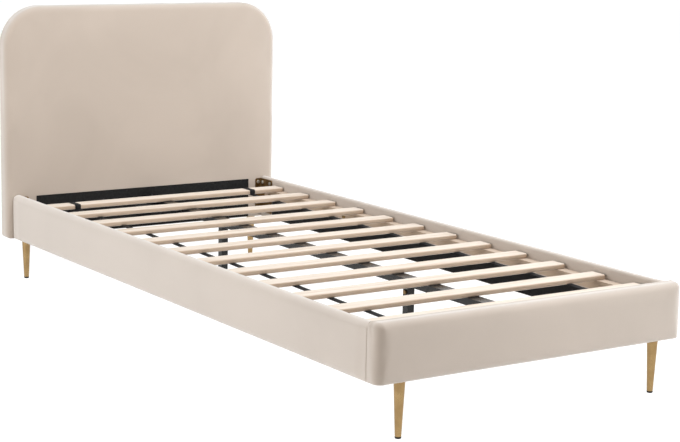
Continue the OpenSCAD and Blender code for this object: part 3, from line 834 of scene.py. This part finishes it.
@dataclass
class Upholstery:
    """The four padded covers, made in place of the frame's plain shells.

    The seeds say where in the noise field each cover's dents lie.
    """

    finishes: Finishes
    staples: "Staples"
    stuffing: Stuffing = Stuffing()
    padding: float = 0.9
    edge_round: float = 16 * MM
    inner_round: float = 10 * MM
    under_round: float = 5 * MM
    back_round: float = 2.5 * MM
    seam_round: float = 1.8 * MM
    belly: float = 1.4 * MM
    board_face_round: float = 19 * MM
    board_back_round: float = 7 * MM
    board_corner: float = 130 * MM
    board_foot_corner: float = 13 * MM
    board_crown: float = 2.6 * MM
    crown_fade: float = 0.35
    swell_fade: float = 0.3
    foot_corner: float = 22 * MM
    foot_crown: float = 0.6 * MM
    cloth_top: float = 0.285
    tack_in: float = 13 * MM
    tack_ends: float = 90 * MM
    rail_stations: int = 180
    rail_seed: float = 3.0
    foot_seed: float = 9.0
    board_seed: float = 5.0

    def build(self) -> None:
        """Builds and dresses all four covers."""
        self.headboard()
        self.foot_board()
        for side in Side:
            self.rail(side)

    def make_piece(
        self, mesh: bpy.types.Mesh, node: str, free: Callable[[Vector, Vector], float], seed: float
    ) -> None:
        """Args:
            mesh: The cover's mesh, with the piece's name.
            node: The frame's node that it replaces.
            free: From a point and its normal, 0 where the cover is held and 1 where it is free.
            seed: Where in the noise field its dents lie.
        """
        shares = np.array([free(vertex.co, vertex.normal) for vertex in mesh.vertices])
        self.stuffing.fill(mesh, shares, seed)
        piece = new_piece(mesh.name, mesh, self.finishes.velvet)
        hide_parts(node)

    def tack_crossways(self, low: Vector, high: Vector) -> None:
        """Tacks a cover that lies along X to its board's underside, near the front."""
        y = low.y + self.tack_in
        run = [(low.x + self.tack_ends, y, low.z), (high.x - self.tack_ends, y, low.z)]
        self.staples.line(run, DOWN)

    def rail(self, side: Side) -> None:
        """Builds one side rail's cover, swept along the rail between its two seams."""
        low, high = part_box(f"{side.label}_rail_cover")
        rounds = (self.under_round, self.back_round, self.inner_round, self.edge_round)
        section = RoundedOutline((0.0, low.z), (high.x - low.x, high.z), rounds, along=4, up=22, arc=6)
        profile, normals = section.loop()
        t = np.clip((profile[:, 1] - low.z) / (high.z - low.z) * 2 - 1, -1, 1)
        profile[:, 0] -= self.belly * (1 - t**4) * np.clip(-normals[:, 0], 0, 1)
        outer = high.x if side is Side.RIGHT else low.x
        r = self.seam_round
        ends = [(0.0, r), (r * 0.3, r * 0.3), (r, 0.0)]
        middle = np.linspace(low.y + 3 * r, high.y - 3 * r, self.rail_stations)
        stations = [(low.y + y, inset) for y, inset in ends] + [(y, 0.0) for y in middle]
        stations += [(high.y - y, inset) for y, inset in reversed(ends)]
        rings = []
        for y, inset in stations:
            ring = profile - normals * inset
            across = outer - side.value * ring[:, 0]
            rings.append(np.column_stack([across, np.full(len(ring), y), ring[:, 1]]))
        faces = ring_faces(len(rings), len(profile))
        mesh = closed_mesh(f"{side.label}_rail_upholstery", np.concatenate(rings), faces)

        def free(place: Vector, normal: Vector) -> float:
            """How free the cover is there: held inside, below and at both seams."""
            out = eased(side.value * normal.x + 1.2 * max(normal.z, 0.0), 0.0, 0.8)
            return out * eased(min(place.y - low.y, high.y - place.y), 3 * MM, 40 * MM)

        self.make_piece(mesh, f"{side.label}_rail_cover", free, self.rail_seed + side.value)
        x = outer - side.value * self.tack_in
        run = [(x, low.y + self.tack_ends, low.z), (x, high.y - self.tack_ends, low.z)]
        self.staples.line(run, DOWN)

    def foot_board(self) -> None:
        """Builds the foot board's cover, with its two round upright corners."""
        low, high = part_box("foot_cover")
        corner = self.foot_corner
        corners = (corner, corner, self.back_round, self.back_round)
        outline = RoundedOutline((low.x, low.y), (high.x, high.y), corners, along=104, up=6, arc=8)
        edge, under, bulge = self.edge_round, self.under_round, self.belly
        board = PaddedBoard(
            outline,
            (0, 1, 2),
            high.z,
            low.z,
            face_rounds=(edge, edge, self.inner_round, edge),
            back_rounds=(under, under, self.back_round, under),
            belly=(bulge, bulge, 0.0, bulge),
            crown=self.foot_crown,
            wall_steps=16,
        )
        mesh = board.mesh("foot_upholstery")

        def free(place: Vector, normal: Vector) -> float:
            """How free the cover is there: held inside, below and at both seams."""
            out = eased(abs(normal.x) + max(-normal.y, 0.0) + 1.2 * max(normal.z, 0.0), 0.0, 0.8)
            return out * eased(high.y - place.y, 2 * MM, 16 * MM)

        self.make_piece(mesh, "foot_cover", free, self.foot_seed)
        self.tack_crossways(low, high)

    def headboard(self) -> None:
        """Builds the headboard's cover, crowned above the cloth and flat where the cloth lies."""
        low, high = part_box("headboard_cover")
        corners = (self.board_foot_corner, self.board_foot_corner, self.board_corner, self.board_corner)
        outline = RoundedOutline((low.x, low.z), (high.x, high.z), corners, along=96, up=64, arc=14)
        face, back, bulge = self.board_face_round, self.board_back_round, self.belly
        board = PaddedBoard(
            outline,
            (0, 2, 1),
            low.y,
            high.y,
            face_rounds=(self.under_round, face, face, face),
            back_rounds=(self.under_round, back, back, back),
            belly=(0.0, bulge, bulge, bulge),
            crown=self.board_crown,
            crown_bare=self.cloth_top,
            crown_full=self.cloth_top + self.crown_fade,
            wall_steps=4,
        )
        mesh = board.mesh("headboard_upholstery")

        def free(place: Vector, normal: Vector) -> float:
            """How free the cover is there: held at its back, below and behind the cloth."""
            out = eased(max(-normal.y, 0.0) + abs(normal.x) + max(normal.z, 0.0), 0.2, 0.9)
            above = eased(place.z, self.cloth_top, self.cloth_top + self.swell_fade)
            return out * above * eased(high.y - place.y, 0.0, 12 * MM)

        self.make_piece(mesh, "headboard_cover", free, self.board_seed)
        self.tack_crossways(low, high)


# Geometry node trees


@dataclass
class SweptTree:
    """One Geometry Nodes tree that grows small parts along the edges of a carrier mesh.

    The carrier's points hold the vector attribute "outward", which says which way is up for a part.
    A tree is sketched, ended once, and then run on each carrier.
    """

    name: str
    sizes: dict[str, float]
    finish: bpy.types.Material
    seed: int = 0
    sketch: NodeSketch = field(init=False)
    given: bpy.types.NodeSocket = field(init=False)

    def __post_init__(self) -> None:
        """Makes the tree with one named input for each size, and one for the seed."""
        tree = bpy.data.node_groups.new(self.name, "GeometryNodeTree")
        tree.interface.new_socket("Carrier", in_out="INPUT", socket_type="NodeSocketGeometry")
        for label in self.sizes:
            tree.interface.new_socket(label, in_out="INPUT", socket_type="NodeSocketFloat")
        tree.interface.new_socket("Seed", in_out="INPUT", socket_type="NodeSocketInt")
        tree.interface.new_socket("Parts", in_out="OUTPUT", socket_type="NodeSocketGeometry")
        self.sketch = NodeSketch(tree)
        self.given = self.sketch.add("NodeGroupInput").outputs

    def path(self, spacing=None) -> bpy.types.NodeSocket:
        """The carrier's edges as curves, with points at that spacing where one is given."""
        curve = self.sketch.add("GeometryNodeMeshToCurve", {0: self.given["Carrier"]}).outputs[0]
        if spacing is None:
            return curve
        sockets = {0: curve, "Length": spacing}
        return self.sketch.add("GeometryNodeResampleCurve", sockets, mode="LENGTH").outputs[0]

    def outward(self) -> bpy.types.NodeSocket:
        """The carrier's own outward direction at each point."""
        kind, sockets = "GeometryNodeInputNamedAttribute", {"Name": "outward"}
        return self.sketch.add(kind, sockets, data_type="FLOAT_VECTOR").outputs[0]

    def turned(self, wobble: float) -> bpy.types.NodeSocket:
        """Rotation with Z outward and X along the path, off by up to wobble radians."""
        tangent = self.sketch.add("GeometryNodeInputTangent").outputs[0]
        axes = {0: self.outward(), 1: tangent}
        straight = self.sketch.add("FunctionNodeAxesToRotation", axes, primary_axis="Z", secondary_axis="X")
        chance = self.sketch.add("FunctionNodeRandomValue", data_type="FLOAT")
        self.sketch.feed(chance.inputs[2], -wobble)
        self.sketch.feed(chance.inputs[3], wobble)
        self.sketch.feed(chance.inputs["Seed"], self.given["Seed"])
        spin = {0: UP, 1: chance.outputs[1]}
        off = self.sketch.add("FunctionNodeAxisAngleToRotation", spin)
        turns = {0: straight.outputs[0], 1: off.outputs[0]}
        return self.sketch.add("FunctionNodeRotateRotation", turns, rotation_space="LOCAL").outputs[0]

    def wire_arch(self, width, height, wire, steps: int = 7, sides: int = 6) -> bpy.types.NodeSocket:
        """A low arch of wire along X whose ends dive below Z = 0."""
        half_circle = {"Resolution": steps, "Radius": 1.0, "Sweep Angle": math.pi}
        arc = self.sketch.add("GeometryNodeCurveArc", half_circle, mode="RADIUS").outputs[0]
        half = self.sketch.math("MULTIPLY", width, 0.5)
        reach = self.sketch.math("MULTIPLY", height, 2.0)
        scale = self.sketch.add("ShaderNodeCombineXYZ", {0: half, 1: reach, 2: 1.0}).outputs[0]
        flat = self.sketch.add("GeometryNodeTransform", {0: arc, "Scale": scale}).outputs[0]
        below = self.sketch.math("MULTIPLY", height, -1.0)
        drop = self.sketch.add("ShaderNodeCombineXYZ", {2: below}).outputs[0]
        sockets = {0: flat, "Translation": drop, "Rotation": (math.pi / 2, 0.0, 0.0)}
        stood = self.sketch.add("GeometryNodeTransform", sockets).outputs[0]
        circle = {"Resolution": sides, "Radius": wire}
        round_wire = self.sketch.add("GeometryNodeCurvePrimitiveCircle", circle).outputs[0]
        sockets = {"Curve": stood, "Profile Curve": round_wire, "Fill Caps": True}
        return self.sketch.add("GeometryNodeCurveToMesh", sockets).outputs[0]

    def stored(self, geometry, name: str, value) -> bpy.types.NodeSocket:
        """The geometry with one number stored on each point under that name."""
        sockets = {0: geometry, "Name": name, "Value": value}
        node = self.sketch.add("GeometryNodeStoreNamedAttribute", sockets, data_type="FLOAT", domain="POINT")
        return node.outputs[0]

    def band(self, width, thickness) -> bpy.types.NodeSocket:
        """A flat band along the carrier, lying across X, with its lay stored for the weave."""
        length = self.sketch.add("GeometryNodeSplineParameter").outputs["Length"]
        sockets = {0: self.stored(self.path(), "along", length), "Normal": (1.0, 0.0, 0.0)}
        turned = self.sketch.add("GeometryNodeSetCurveNormal", sockets, mode="FREE").outputs[0]
        flat = self.sketch.add("GeometryNodeCurvePrimitiveQuadrilateral", {0: width, 1: thickness}).outputs[0]
        fillet = {"Curve": flat, "Radius": self.sketch.math("MULTIPLY", thickness, 0.4), "Count": 2}
        soft = self.sketch.add("GeometryNodeFilletCurve", fillet, mode="POLY")
        place = self.sketch.add("GeometryNodeInputPosition").outputs[0]
        across = self.sketch.add("ShaderNodeSeparateXYZ", {0: place}).outputs[0]
        profile = self.stored(soft.outputs[0], "across", across)
        sockets = {"Curve": turned, "Profile Curve": profile, "Fill Caps": True}
        return self.sketch.add("GeometryNodeCurveToMesh", sockets).outputs[0]

    def scatter(self, points, part, wobble: float, wanted=True) -> bpy.types.NodeSocket:
        """Sets one part on each point that is wanted."""
        sockets = {"Points": points, "Selection": wanted, "Instance": part, "Rotation": self.turned(wobble)}
        return self.sketch.add("GeometryNodeInstanceOnPoints", sockets).outputs[0]

    def end(self, parts) -> None:
        """Ends the tree: makes the parts real and gives them their material."""
        real = self.sketch.add("GeometryNodeRealizeInstances", {0: parts}).outputs[0]
        dressed = self.sketch.add("GeometryNodeSetMaterial", {0: real, "Material": self.finish}).outputs[0]
        self.sketch.add("NodeGroupOutput", {0: dressed})

    def run(self, carrier: bpy.types.Mesh, piece: str, slot: str) -> bpy.types.Object:
        """Runs the ended tree on a carrier and keeps the result as a plain mesh.

        Args:
            carrier: The mesh whose edges the tree follows.
            piece: The new piece's name.
            slot: Not used.

        Returns:
            The new piece.
        """
        holder = bpy.data.objects.new(piece + "_carrier", carrier)
        bpy.context.scene.collection.objects.link(holder)
        modifier = holder.modifiers.new(self.name, "NODES")
        modifier.node_group = self.sketch.tree
        values = {**self.sizes, "Seed": self.seed}
        for item in self.sketch.tree.interface.items_tree:
            if item.in_out == "INPUT" and item.name in values:
                modifier[item.identifier] = values[item.name]
        graph = bpy.context.evaluated_depsgraph_get()
        mesh = bpy.data.meshes.new_from_object(holder.evaluated_get(graph), depsgraph=graph)
        mesh.name = piece
        holder.modifiers.remove(modifier)
        bpy.data.objects.remove(holder)
        made = new_piece(piece, mesh, self.finish)
        return made


def carrier_mesh(name: str, runs: list[Run]) -> bpy.types.Mesh:
    """Makes a mesh of edges only, for a tree to follow.

    Args:
        name: The mesh's name.
        runs: For each run its points, its outward direction, and whether it closes.

    Returns:
        The new mesh.
    """
    points, edges, outward = [], [], []
    for run, direction, closed in runs:
        first = len(points)
        points += run
        outward += [direction] * len(run)
        edges += [(first + i, first + i + 1) for i in range(len(run) - 1)]
        if closed:
            edges.append((len(points) - 1, first))
    mesh = bpy.data.meshes.new(name)
    mesh.from_pydata(points, edges, [])
    stored = mesh.attributes.new("outward", "FLOAT_VECTOR", "POINT")
    stored.data.foreach_set("vector", np.array(outward, dtype=np.float32).ravel())
    return mesh


@dataclass
class Staples:
    """All the staples that hold covers and cloths, gathered as lines and driven together."""

    finishes: Finishes
    pitch: float = 55 * MM
    width: float = 10 * MM
    height: float = 0.55 * MM
    wire: float = 0.42 * MM
    wobble: float = 0.14
    seed: int = 17
    runs: list[Run] = field(default_factory=list)

    def line(self, points: list[Place], outward: Place, closed: bool = False) -> None:
        """Notes one line of staples.

        Args:
            points: The line's points, on the face that the staples go into.
            outward: The way that the face looks.
            closed: Whether the line runs round.
        """
        self.runs.append((points, outward, closed))

    def build(self) -> None:
        """Drives all the staples noted so far."""
        sizes = {"Pitch": self.pitch, "Width": self.width, "Height": self.height, "Wire": self.wire}
        tree = SweptTree("staple_rows", sizes, self.finishes.dark_wire, self.seed)
        arch = tree.wire_arch(tree.given["Width"], tree.given["Height"], tree.given["Wire"])
        tree.end(tree.scatter(tree.path(tree.given["Pitch"]), arch, self.wobble))
        tree.run(carrier_mesh("staple_lines", self.runs), "staples", "black_steel")


# Dust cloths


@dataclass(frozen=True)
class ClothPlane:
    """Where one dust cloth lies: its node, its carrier, its long axis, its face's way and its top corners."""

    node: str
    on: str
    along: int
    facing: Place
    corner: float = 0.0


@dataclass
class DustCloths:
    """The black cloths that are tacked over the bed's inner faces and the headboard's back.

    Each has a folded hem, faint ripples, and puckers between its staples. The grid is coarser along
    a cloth than up it, by grid_stretch. The ripples are in cells per metre, along and up.
    """

    finishes: Finishes
    staples: Staples
    thickness: float = 0.5 * MM
    hem: float = 14 * MM
    hem_rise: float = 0.3 * MM
    slack: float = 0.25 * MM
    grid: float = 7 * MM
    grid_stretch: float = 1.5
    ripples: tuple[float, float] = (14.0, 9.0)
    ripple_share: float = 0.7
    pucker_share: float = 0.35
    pucker_length: float = 20 * MM
    least_corner: float = 2 * MM
    under_gap: float = 0.05 * MM
    tack_in: float = 6 * MM
    first_seed: float = 11.0
    seed_step: float = 7.0
    planes: tuple[ClothPlane, ...] = (
        ClothPlane("headboard_front_cloth", "headboard_upholstery", 0, (0.0, -1.0, 0.0)),
        ClothPlane("headboard_back_cloth", "headboard_upholstery", 0, (0.0, 1.0, 0.0), 0.106),
        ClothPlane("foot_cloth", "foot_upholstery", 0, (0.0, 1.0, 0.0)),
        ClothPlane("left_rail_cloth", "left_rail_upholstery", 1, (1.0, 0.0, 0.0)),
        ClothPlane("right_rail_cloth", "right_rail_upholstery", 1, (-1.0, 0.0, 0.0)),
    )

    def build(self) -> None:
        """Builds every cloth and the staples that hold them."""
        for i, plane in enumerate(self.planes):
            self.cloth(plane, self.first_seed + self.seed_step * i)
            loop, _ = self.outline(plane, self.tack_in).loop()
            lift = np.full(len(loop), self.thickness + self.hem_rise)
            self.staples.line([tuple(p) for p in self.settle(plane, loop, lift)], plane.facing, closed=True)

    def outline(self, plane: ClothPlane, inset: float) -> RoundedOutline:
        """The cloth's outline in its own plane, drawn in by inset."""
        low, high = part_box(plane.node)
        a0, a1, b0, b1 = low[plane.along], high[plane.along], low.z, high.z
        base = self.least_corner
        top = max(plane.corner - inset, base)
        arc = 10 if plane.corner else 2
        along = max(8, round((a1 - a0) / self.grid / self.grid_stretch))
        up = max(6, round((b1 - b0) / self.grid))
        inner_low, inner_high = (a0 + inset, b0 + inset), (a1 - inset, b1 - inset)
        return RoundedOutline(inner_low, inner_high, (base, base, top, top), along, up, arc)

    def settle(self, plane: ClothPlane, flat: np.ndarray, lift: np.ndarray) -> np.ndarray:
        """Puts points of the cloth's plane into the bed's frame.

        Args:
            plane: The cloth.
            flat: Points as places along and up the cloth's own plane, in the last axis.
            lift: How far each stands off the face that carries it.

        Returns:
            Points in the bed's frame.
        """
        low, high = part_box(plane.node)
        across = 1 - plane.along
        sign = plane.facing[across]
        base = low[across] if sign > 0 else high[across]
        out = np.zeros((*lift.shape, 3))
        out[..., plane.along] = flat[..., 0]
        out[..., 2] = flat[..., 1]
        out[..., across] = base + sign * lift
        return out

    def cloth(self, plane: ClothPlane, seed: float) -> None:
        """Builds one cloth as a thin closed sheet with a folded hem and a little slack."""
        shape = self.outline(plane, 0.0)
        wide, high = shape.steps
        flat = coons_grid(shape.loop()[0], wide, high)
        (a0, b0), (a1, b1) = shape.low, shape.high
        edge = np.minimum.reduce([flat[..., 0] - a0, a1 - flat[..., 0], flat[..., 1] - b0, b1 - flat[..., 1]])
        hemmed = np.clip(1.5 - np.abs(edge) / self.hem, 0.0, 0.5) * 2
        inner = np.clip(edge / self.hem, 0.0, 1.0)
        p, q = self.ripples
        spots = [[Vector((a * p + seed, b * q, seed)) for a, b in row] for row in flat]
        ripple = np.array([[noise.noise(spot) for spot in row] for row in spots])
        fade = np.exp(-np.maximum(edge - self.hem, 0) / self.pucker_length)
        pucker = np.sin(flat[..., 0] / self.staples.pitch * 2 * math.pi) * fade
        lift = self.thickness + self.hem_rise * hemmed
        lift = lift + inner * self.slack * (self.ripple_share * ripple + self.pucker_share * pucker + 0.5)
        face = self.settle(plane, flat, lift)
        back = self.settle(plane, flat, np.full(lift.shape, self.under_gap))
        count = (wide + 1) * (high + 1)
        points = np.concatenate([face.reshape(-1, 3), back.reshape(-1, 3)])
        faces = []
        for quad in grid_faces(wide, high):
            faces += [quad, tuple(count + k for k in reversed(quad))]
        rim = list(range(wide + 1))
        rim += [r * (wide + 1) + wide for r in range(1, high + 1)]
        rim += [high * (wide + 1) + i for i in range(wide - 1, -1, -1)]
        rim += [r * (wide + 1) for r in range(high - 1, 0, -1)]
        faces += [(rim[k], rim[k - 1], count + rim[k - 1], count + rim[k]) for k in range(len(rim))]
        name = plane.node + "_sheet"
        piece = new_piece(name, closed_mesh(name, points, faces), self.finishes.dust_cloth)
        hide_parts(plane.node)


# Webbing


@dataclass
class Webbing:
    """The two lengths of black webbing: under every slat, round the first, and stitched on its top.

    seam_rows are the stitched box's two ends in Y, measured from the first slat's foot side.
    """

    finishes: Finishes
    width: float = 20 * MM
    thickness: float = 1.3 * MM
    step: float = 9 * MM
    bend_steps: int = 6
    sag: float = 1.1 * MM
    tuck: float = 0.9 * MM
    clearance: float = 0.1 * MM
    slat_round: float = 4.5 * MM
    seam_in: float = 2 * MM
    seam_rows: tuple[float, float] = (14 * MM, 32 * MM)
    seam_steps: int = 8
    stitch_pitch: float = 2.6 * MM
    stitch_width: float = 2.2 * MM
    stitch_height: float = 0.3 * MM
    stitch_wobble: float = 0.06
    stitch_seed: int = 5
    thread: float = 0.25 * MM
    thread_steps: int = 5
    tack_shares: tuple[float, float] = (0.3, 0.7)
    tack_width: float = 10 * MM
    tack_height: float = 0.45 * MM
    tack_wire: float = 0.4 * MM
    tack_wobble: float = 0.2
    tack_seed: int = 3

    def build(self) -> None:
        """Builds both lengths with their stitches and tacks."""
        sizes = {"Width": self.width, "Thickness": self.thickness}
        tree = SweptTree("webbing_band", sizes, self.finishes.webbing)
        tree.end(tree.band(tree.given["Width"], tree.given["Thickness"]))
        for side in Side:
            self.length(side, self.path(side), tree)
        self.stitches([self.seam(side) for side in Side])
        self.tacks()

    def path(self, side: Side) -> np.ndarray:
        """The middle line of one length in Y and Z, from under the last slat to its end round the first.

        Args:
            side: Which of the two.

        Returns:
            Points, one row each.
        """
        strap_low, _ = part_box(f"{side.label}_strap")
        slats = [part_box(name) for name in reversed(SLATS)]
        low, high = slats[-1]
        gap, corner = self.thickness / 2 + self.clearance, self.slat_round
        under = low.z - gap
        points = [(strap_low.y, under)]
        for (_, end), (start, _) in zip(slats, slats[1:]):
            gap_steps = max(4, round((start.y - end.y) / self.step))
            for i in range(gap_steps + 1):
                t = i / gap_steps
                points.append((end.y + (start.y - end.y) * t, under - self.sag * 4 * t * (1 - t)))
        turn = corner + gap
        y0, y1, z0, z1 = low.y + corner, high.y - corner, low.z + corner, high.z - corner
        for centre, first in (((y1, z0), -90), ((y1, z1), 0), ((y0, z1), 90)):
            for i in range(self.bend_steps + 1):
                angle = math.radians(first + 90 * i / self.bend_steps)
                points.append((centre[0] + turn * math.cos(angle), centre[1] + turn * math.sin(angle)))
        points.append((low.y - gap, z0))
        points.append((low.y - gap, low.z + self.tuck))
        return np.array(points)

    def length(self, side: Side, path: np.ndarray, tree: SweptTree) -> None:
        """Sweeps one length of webbing along its path."""
        low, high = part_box(f"{side.label}_strap")
        middle = (low.x + high.x) / 2
        line = ([(middle, y, z) for y, z in path], UP, False)
        carrier = carrier_mesh(f"{side.label}_webbing_path", [line])
        piece = tree.run(carrier, f"{side.label}_webbing", "webbing")
        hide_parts(f"{side.label}_strap")

    def seam(self, side: Side) -> Run:
        """The seam that sews the end down: three sides of a box and its cross, on top of the first slat."""
        low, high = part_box(f"{side.label}_strap")
        slat_low, slat_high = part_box(SLATS[0])
        z = slat_high.z + self.thickness + self.clearance
        x0, x1 = low.x + self.seam_in, high.x - self.seam_in
        y0, y1 = (slat_low.y + row for row in self.seam_rows)
        corners = [(x0, y0), (x1, y0), (x1, y1), (x0, y1), (x1, y0), (x0, y0), (x1, y1), (x1, y0)]
        points, steps = [], self.seam_steps
        for (xa, ya), (xb, yb) in zip(corners, corners[1:]):
            points += [(xa + (xb - xa) * i / steps, ya + (yb - ya) * i / steps, z) for i in range(steps)]
        return points, UP, False

    def stitches(self, seams: list[Run]) -> None:
        """Sews the box seams, one thread loop for each stitch."""
        sizes = {
            "Pitch": self.stitch_pitch,
            "Width": self.stitch_width,
            "Height": self.stitch_height,
            "Thread": self.thread,
        }
        tree = SweptTree("webbing_stitches", sizes, self.finishes.thread, self.stitch_seed)
        width, height, thread = (tree.given[label] for label in ("Width", "Height", "Thread"))
        arch = tree.wire_arch(width, height, thread, self.thread_steps, self.thread_steps)
        tree.end(tree.scatter(tree.path(tree.given["Pitch"]), arch, self.stitch_wobble))
        tree.run(carrier_mesh("webbing_seams", seams), "webbing_stitches", "webbing")

    def tacks(self) -> None:
        """Tacks the webbing to the underside of each slat with two staples."""
        runs, half = [], self.tack_width / 2
        for side in Side:
            strap_low, strap_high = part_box(f"{side.label}_strap")
            x = (strap_low.x + strap_high.x) / 2
            for low, high in map(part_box, SLATS):
                z = low.z - self.thickness - self.clearance
                for share in self.tack_shares:
                    y = low.y + (high.y - low.y) * share
                    runs.append(([(x - half, y, z), (x + half, y, z)], DOWN, False))
        sizes = {"Width": self.tack_width, "Height": self.tack_height, "Wire": self.tack_wire}
        tree = SweptTree("webbing_tacks", sizes, self.finishes.dark_wire, self.tack_seed)
        ends_and_middle = {0: tree.path(), "Count": 3}
        points = tree.sketch.add("GeometryNodeResampleCurve", ends_and_middle, mode="COUNT").outputs[0]
        index = tree.sketch.add("GeometryNodeSplineParameter").outputs["Index"]
        compared = {2: index, 3: 1}
        is_middle = tree.sketch.add("FunctionNodeCompare", compared, data_type="INT", operation="EQUAL")
        arch = tree.wire_arch(tree.given["Width"], tree.given["Height"], tree.given["Wire"])
        tree.end(tree.scatter(points, arch, self.tack_wobble, is_middle.outputs[0]))
        tree.run(carrier_mesh("webbing_tack_lines", runs), "webbing_tacks", "black_steel")


# Studio


@dataclass(frozen=True)
class SoftLamp:
    """A square lamp of some size in metres and power in watts that looks at the middle of the bed."""

    name: str
    place: Place
    size: float
    power: float
    aim: Place = (0.0, 0.0, 0.3)

    def build(self) -> None:
        """Hangs the lamp."""
        data = bpy.data.lights.new(self.name, "AREA")
        data.size, data.energy = self.size, self.power
        lamp = bpy.data.objects.new(self.name, data)
        lamp.location = self.place
        lamp.rotation_euler = (Vector(self.aim) - Vector(self.place)).to_track_quat("-Z", "Y").to_euler()
        bpy.context.scene.collection.objects.link(lamp)


@dataclass(frozen=True)
class Studio:
    """The pale floor, the white surroundings and the soft lamps.

    The ambient light falls to dim_share of itself towards dim_side, which is where the camera stands.
    """

    floor_size: float = 60.0
    floor_white: float = 0.90
    glow: float = 0.955
    shadow_albedo: float = 0.22
    ambient: float = 0.38
    ambient_colour: Colour = (1.0, 0.955, 0.90)
    dim_side: Place = (-0.62, -0.78, 0.0)
    dim_share: float = 0.3
    lamps: tuple[SoftLamp, ...] = (
        SoftLamp("left_lamp", (-4.6, 0.7, 1.1), 2.0, 122.0),
        SoftLamp("top_lamp", (1.2, -1.85, 4.9), 2.8, 250.0),
        SoftLamp("right_lamp", (4.3, -2.9, 1.8), 2.0, 104.0),
    )

    def build(self) -> None:
        """Builds the floor, the world and the lamps."""
        self.floor()
        self.surroundings()
        for lamp in self.lamps:
            lamp.build()

    @staticmethod
    def seen(sketch: NodeSketch) -> bpy.types.NodeSocket:
        """1 for rays from the camera, off gloss or through glass, and 0 for the others."""
        path = sketch.add("ShaderNodeLightPath").outputs
        both = sketch.math("MAXIMUM", path["Is Camera Ray"], path["Is Glossy Ray"])
        return sketch.math("MAXIMUM", both, path["Is Transmission Ray"])

    def floor(self) -> None:
        """Lays the pale floor, which shows the bed's shadow faintly."""
        mesh = bpy.data.meshes.new("studio_floor")
        half = self.floor_size / 2
        corners = [(-half, -half, 0), (half, -half, 0), (half, half, 0), (-half, half, 0)]
        mesh.from_pydata(corners, [], [(0, 1, 2, 3)])
        floor = bpy.data.objects.new("studio_floor", mesh)
        bpy.context.scene.collection.objects.link(floor)
        material = bpy.data.materials.new("studio_white")
        material.use_nodes = True
        sketch = NodeSketch(material.node_tree)
        sketch.tree.nodes.clear()
        lit, faint = (
            sketch.add("ShaderNodeBsdfDiffuse", {"Color": (*(grey,) * 3, 1.0)})
            for grey in (self.floor_white, self.shadow_albedo)
        )
        glow = sketch.add("ShaderNodeEmission", {"Strength": self.glow})
        shown = sketch.add("ShaderNodeAddShader", {0: glow.outputs[0], 1: faint.outputs[0]})
        by_ray = {0: self.seen(sketch), 1: lit.outputs[0], 2: shown.outputs[0]}
        mixed = sketch.add("ShaderNodeMixShader", by_ray)
        sketch.add("ShaderNodeOutputMaterial", {"Surface": mixed.outputs[0]})
        mesh.materials.append(material)

    def surroundings(self) -> None:
        """Makes the world plain white where it is seen, and a soft ambient light elsewhere."""
        world = bpy.data.worlds.new("studio_world")
        world.use_nodes = True
        sketch = NodeSketch(world.node_tree)
        sketch.tree.nodes.clear()
        way = sketch.add("ShaderNodeTexCoord").outputs["Generated"]
        sides = {0: way, 1: self.dim_side}
        toward = sketch.add("ShaderNodeVectorMath", sides, operation="DOT_PRODUCT").outputs["Value"]
        soft = sketch.ramp(toward, 0.0, 1.0, self.ambient, self.ambient * self.dim_share)
        strength = sketch.ramp(self.seen(sketch), 0.0, 1.0, soft, 1.0)
        colour = sketch.blend(self.seen(sketch), self.ambient_colour, (1.0, 1.0, 1.0))
        light = sketch.add("ShaderNodeBackground", {"Color": colour, "Strength": strength})
        sketch.add("ShaderNodeOutputWorld", {"Surface": light.outputs[0]})
        bpy.context.scene.world = world


@dataclass(frozen=True)
class PhotographCamera:
    """The camera, fitted to the bed's edges in the photograph: metres, radians and millimetres of lens."""

    place: Place = (-2.7526, -4.2669, 1.2300)
    yaw: float = 0.5921
    pitch: float = 0.1773
    roll: float = 0.0206
    lens: float = 94.0
    sensor: float = 36.0
    reach: tuple[float, float] = (0.05, 200.0)

    def build(self) -> None:
        """Makes the scene's camera."""
        ahead = Vector((math.sin(self.yaw), math.cos(self.yaw), 0.0))
        right = Vector((math.cos(self.yaw), -math.sin(self.yaw), 0.0))
        level = Vector(UP)
        forward = math.cos(self.pitch) * ahead - math.sin(self.pitch) * level
        upward = math.sin(self.pitch) * ahead + math.cos(self.pitch) * level
        rolled_right = math.cos(self.roll) * right + math.sin(self.roll) * upward
        rolled_up = math.cos(self.roll) * upward - math.sin(self.roll) * right
        data = bpy.data.cameras.new("photograph_camera")
        data.lens, data.sensor_width = self.lens, self.sensor
        data.clip_start, data.clip_end = self.reach
        camera = bpy.data.objects.new("photograph_camera", data)
        turn = Matrix((rolled_right, rolled_up, -forward)).transposed().to_4x4()
        camera.matrix_world = Matrix.Translation(self.place) @ turn
        bpy.context.scene.collection.objects.link(camera)
        bpy.context.scene.camera = camera


def main() -> None:
    """Builds the dressed bed and its studio."""
    logging.basicConfig(level=logging.INFO, format="%(name)s %(message)s")
    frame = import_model()
    bpy.context.scene.view_settings.view_transform = "Standard"
    PhotographCamera().build()
    Studio().build()
    finishes = Finishes()
    finishes.dress_nodes(frame)
    staples = Staples(finishes)
    Upholstery(finishes, staples).build()
    DustCloths(finishes, staples).build()
    staples.build()
    Webbing(finishes).build()


if __name__ == "__main__":
    main()
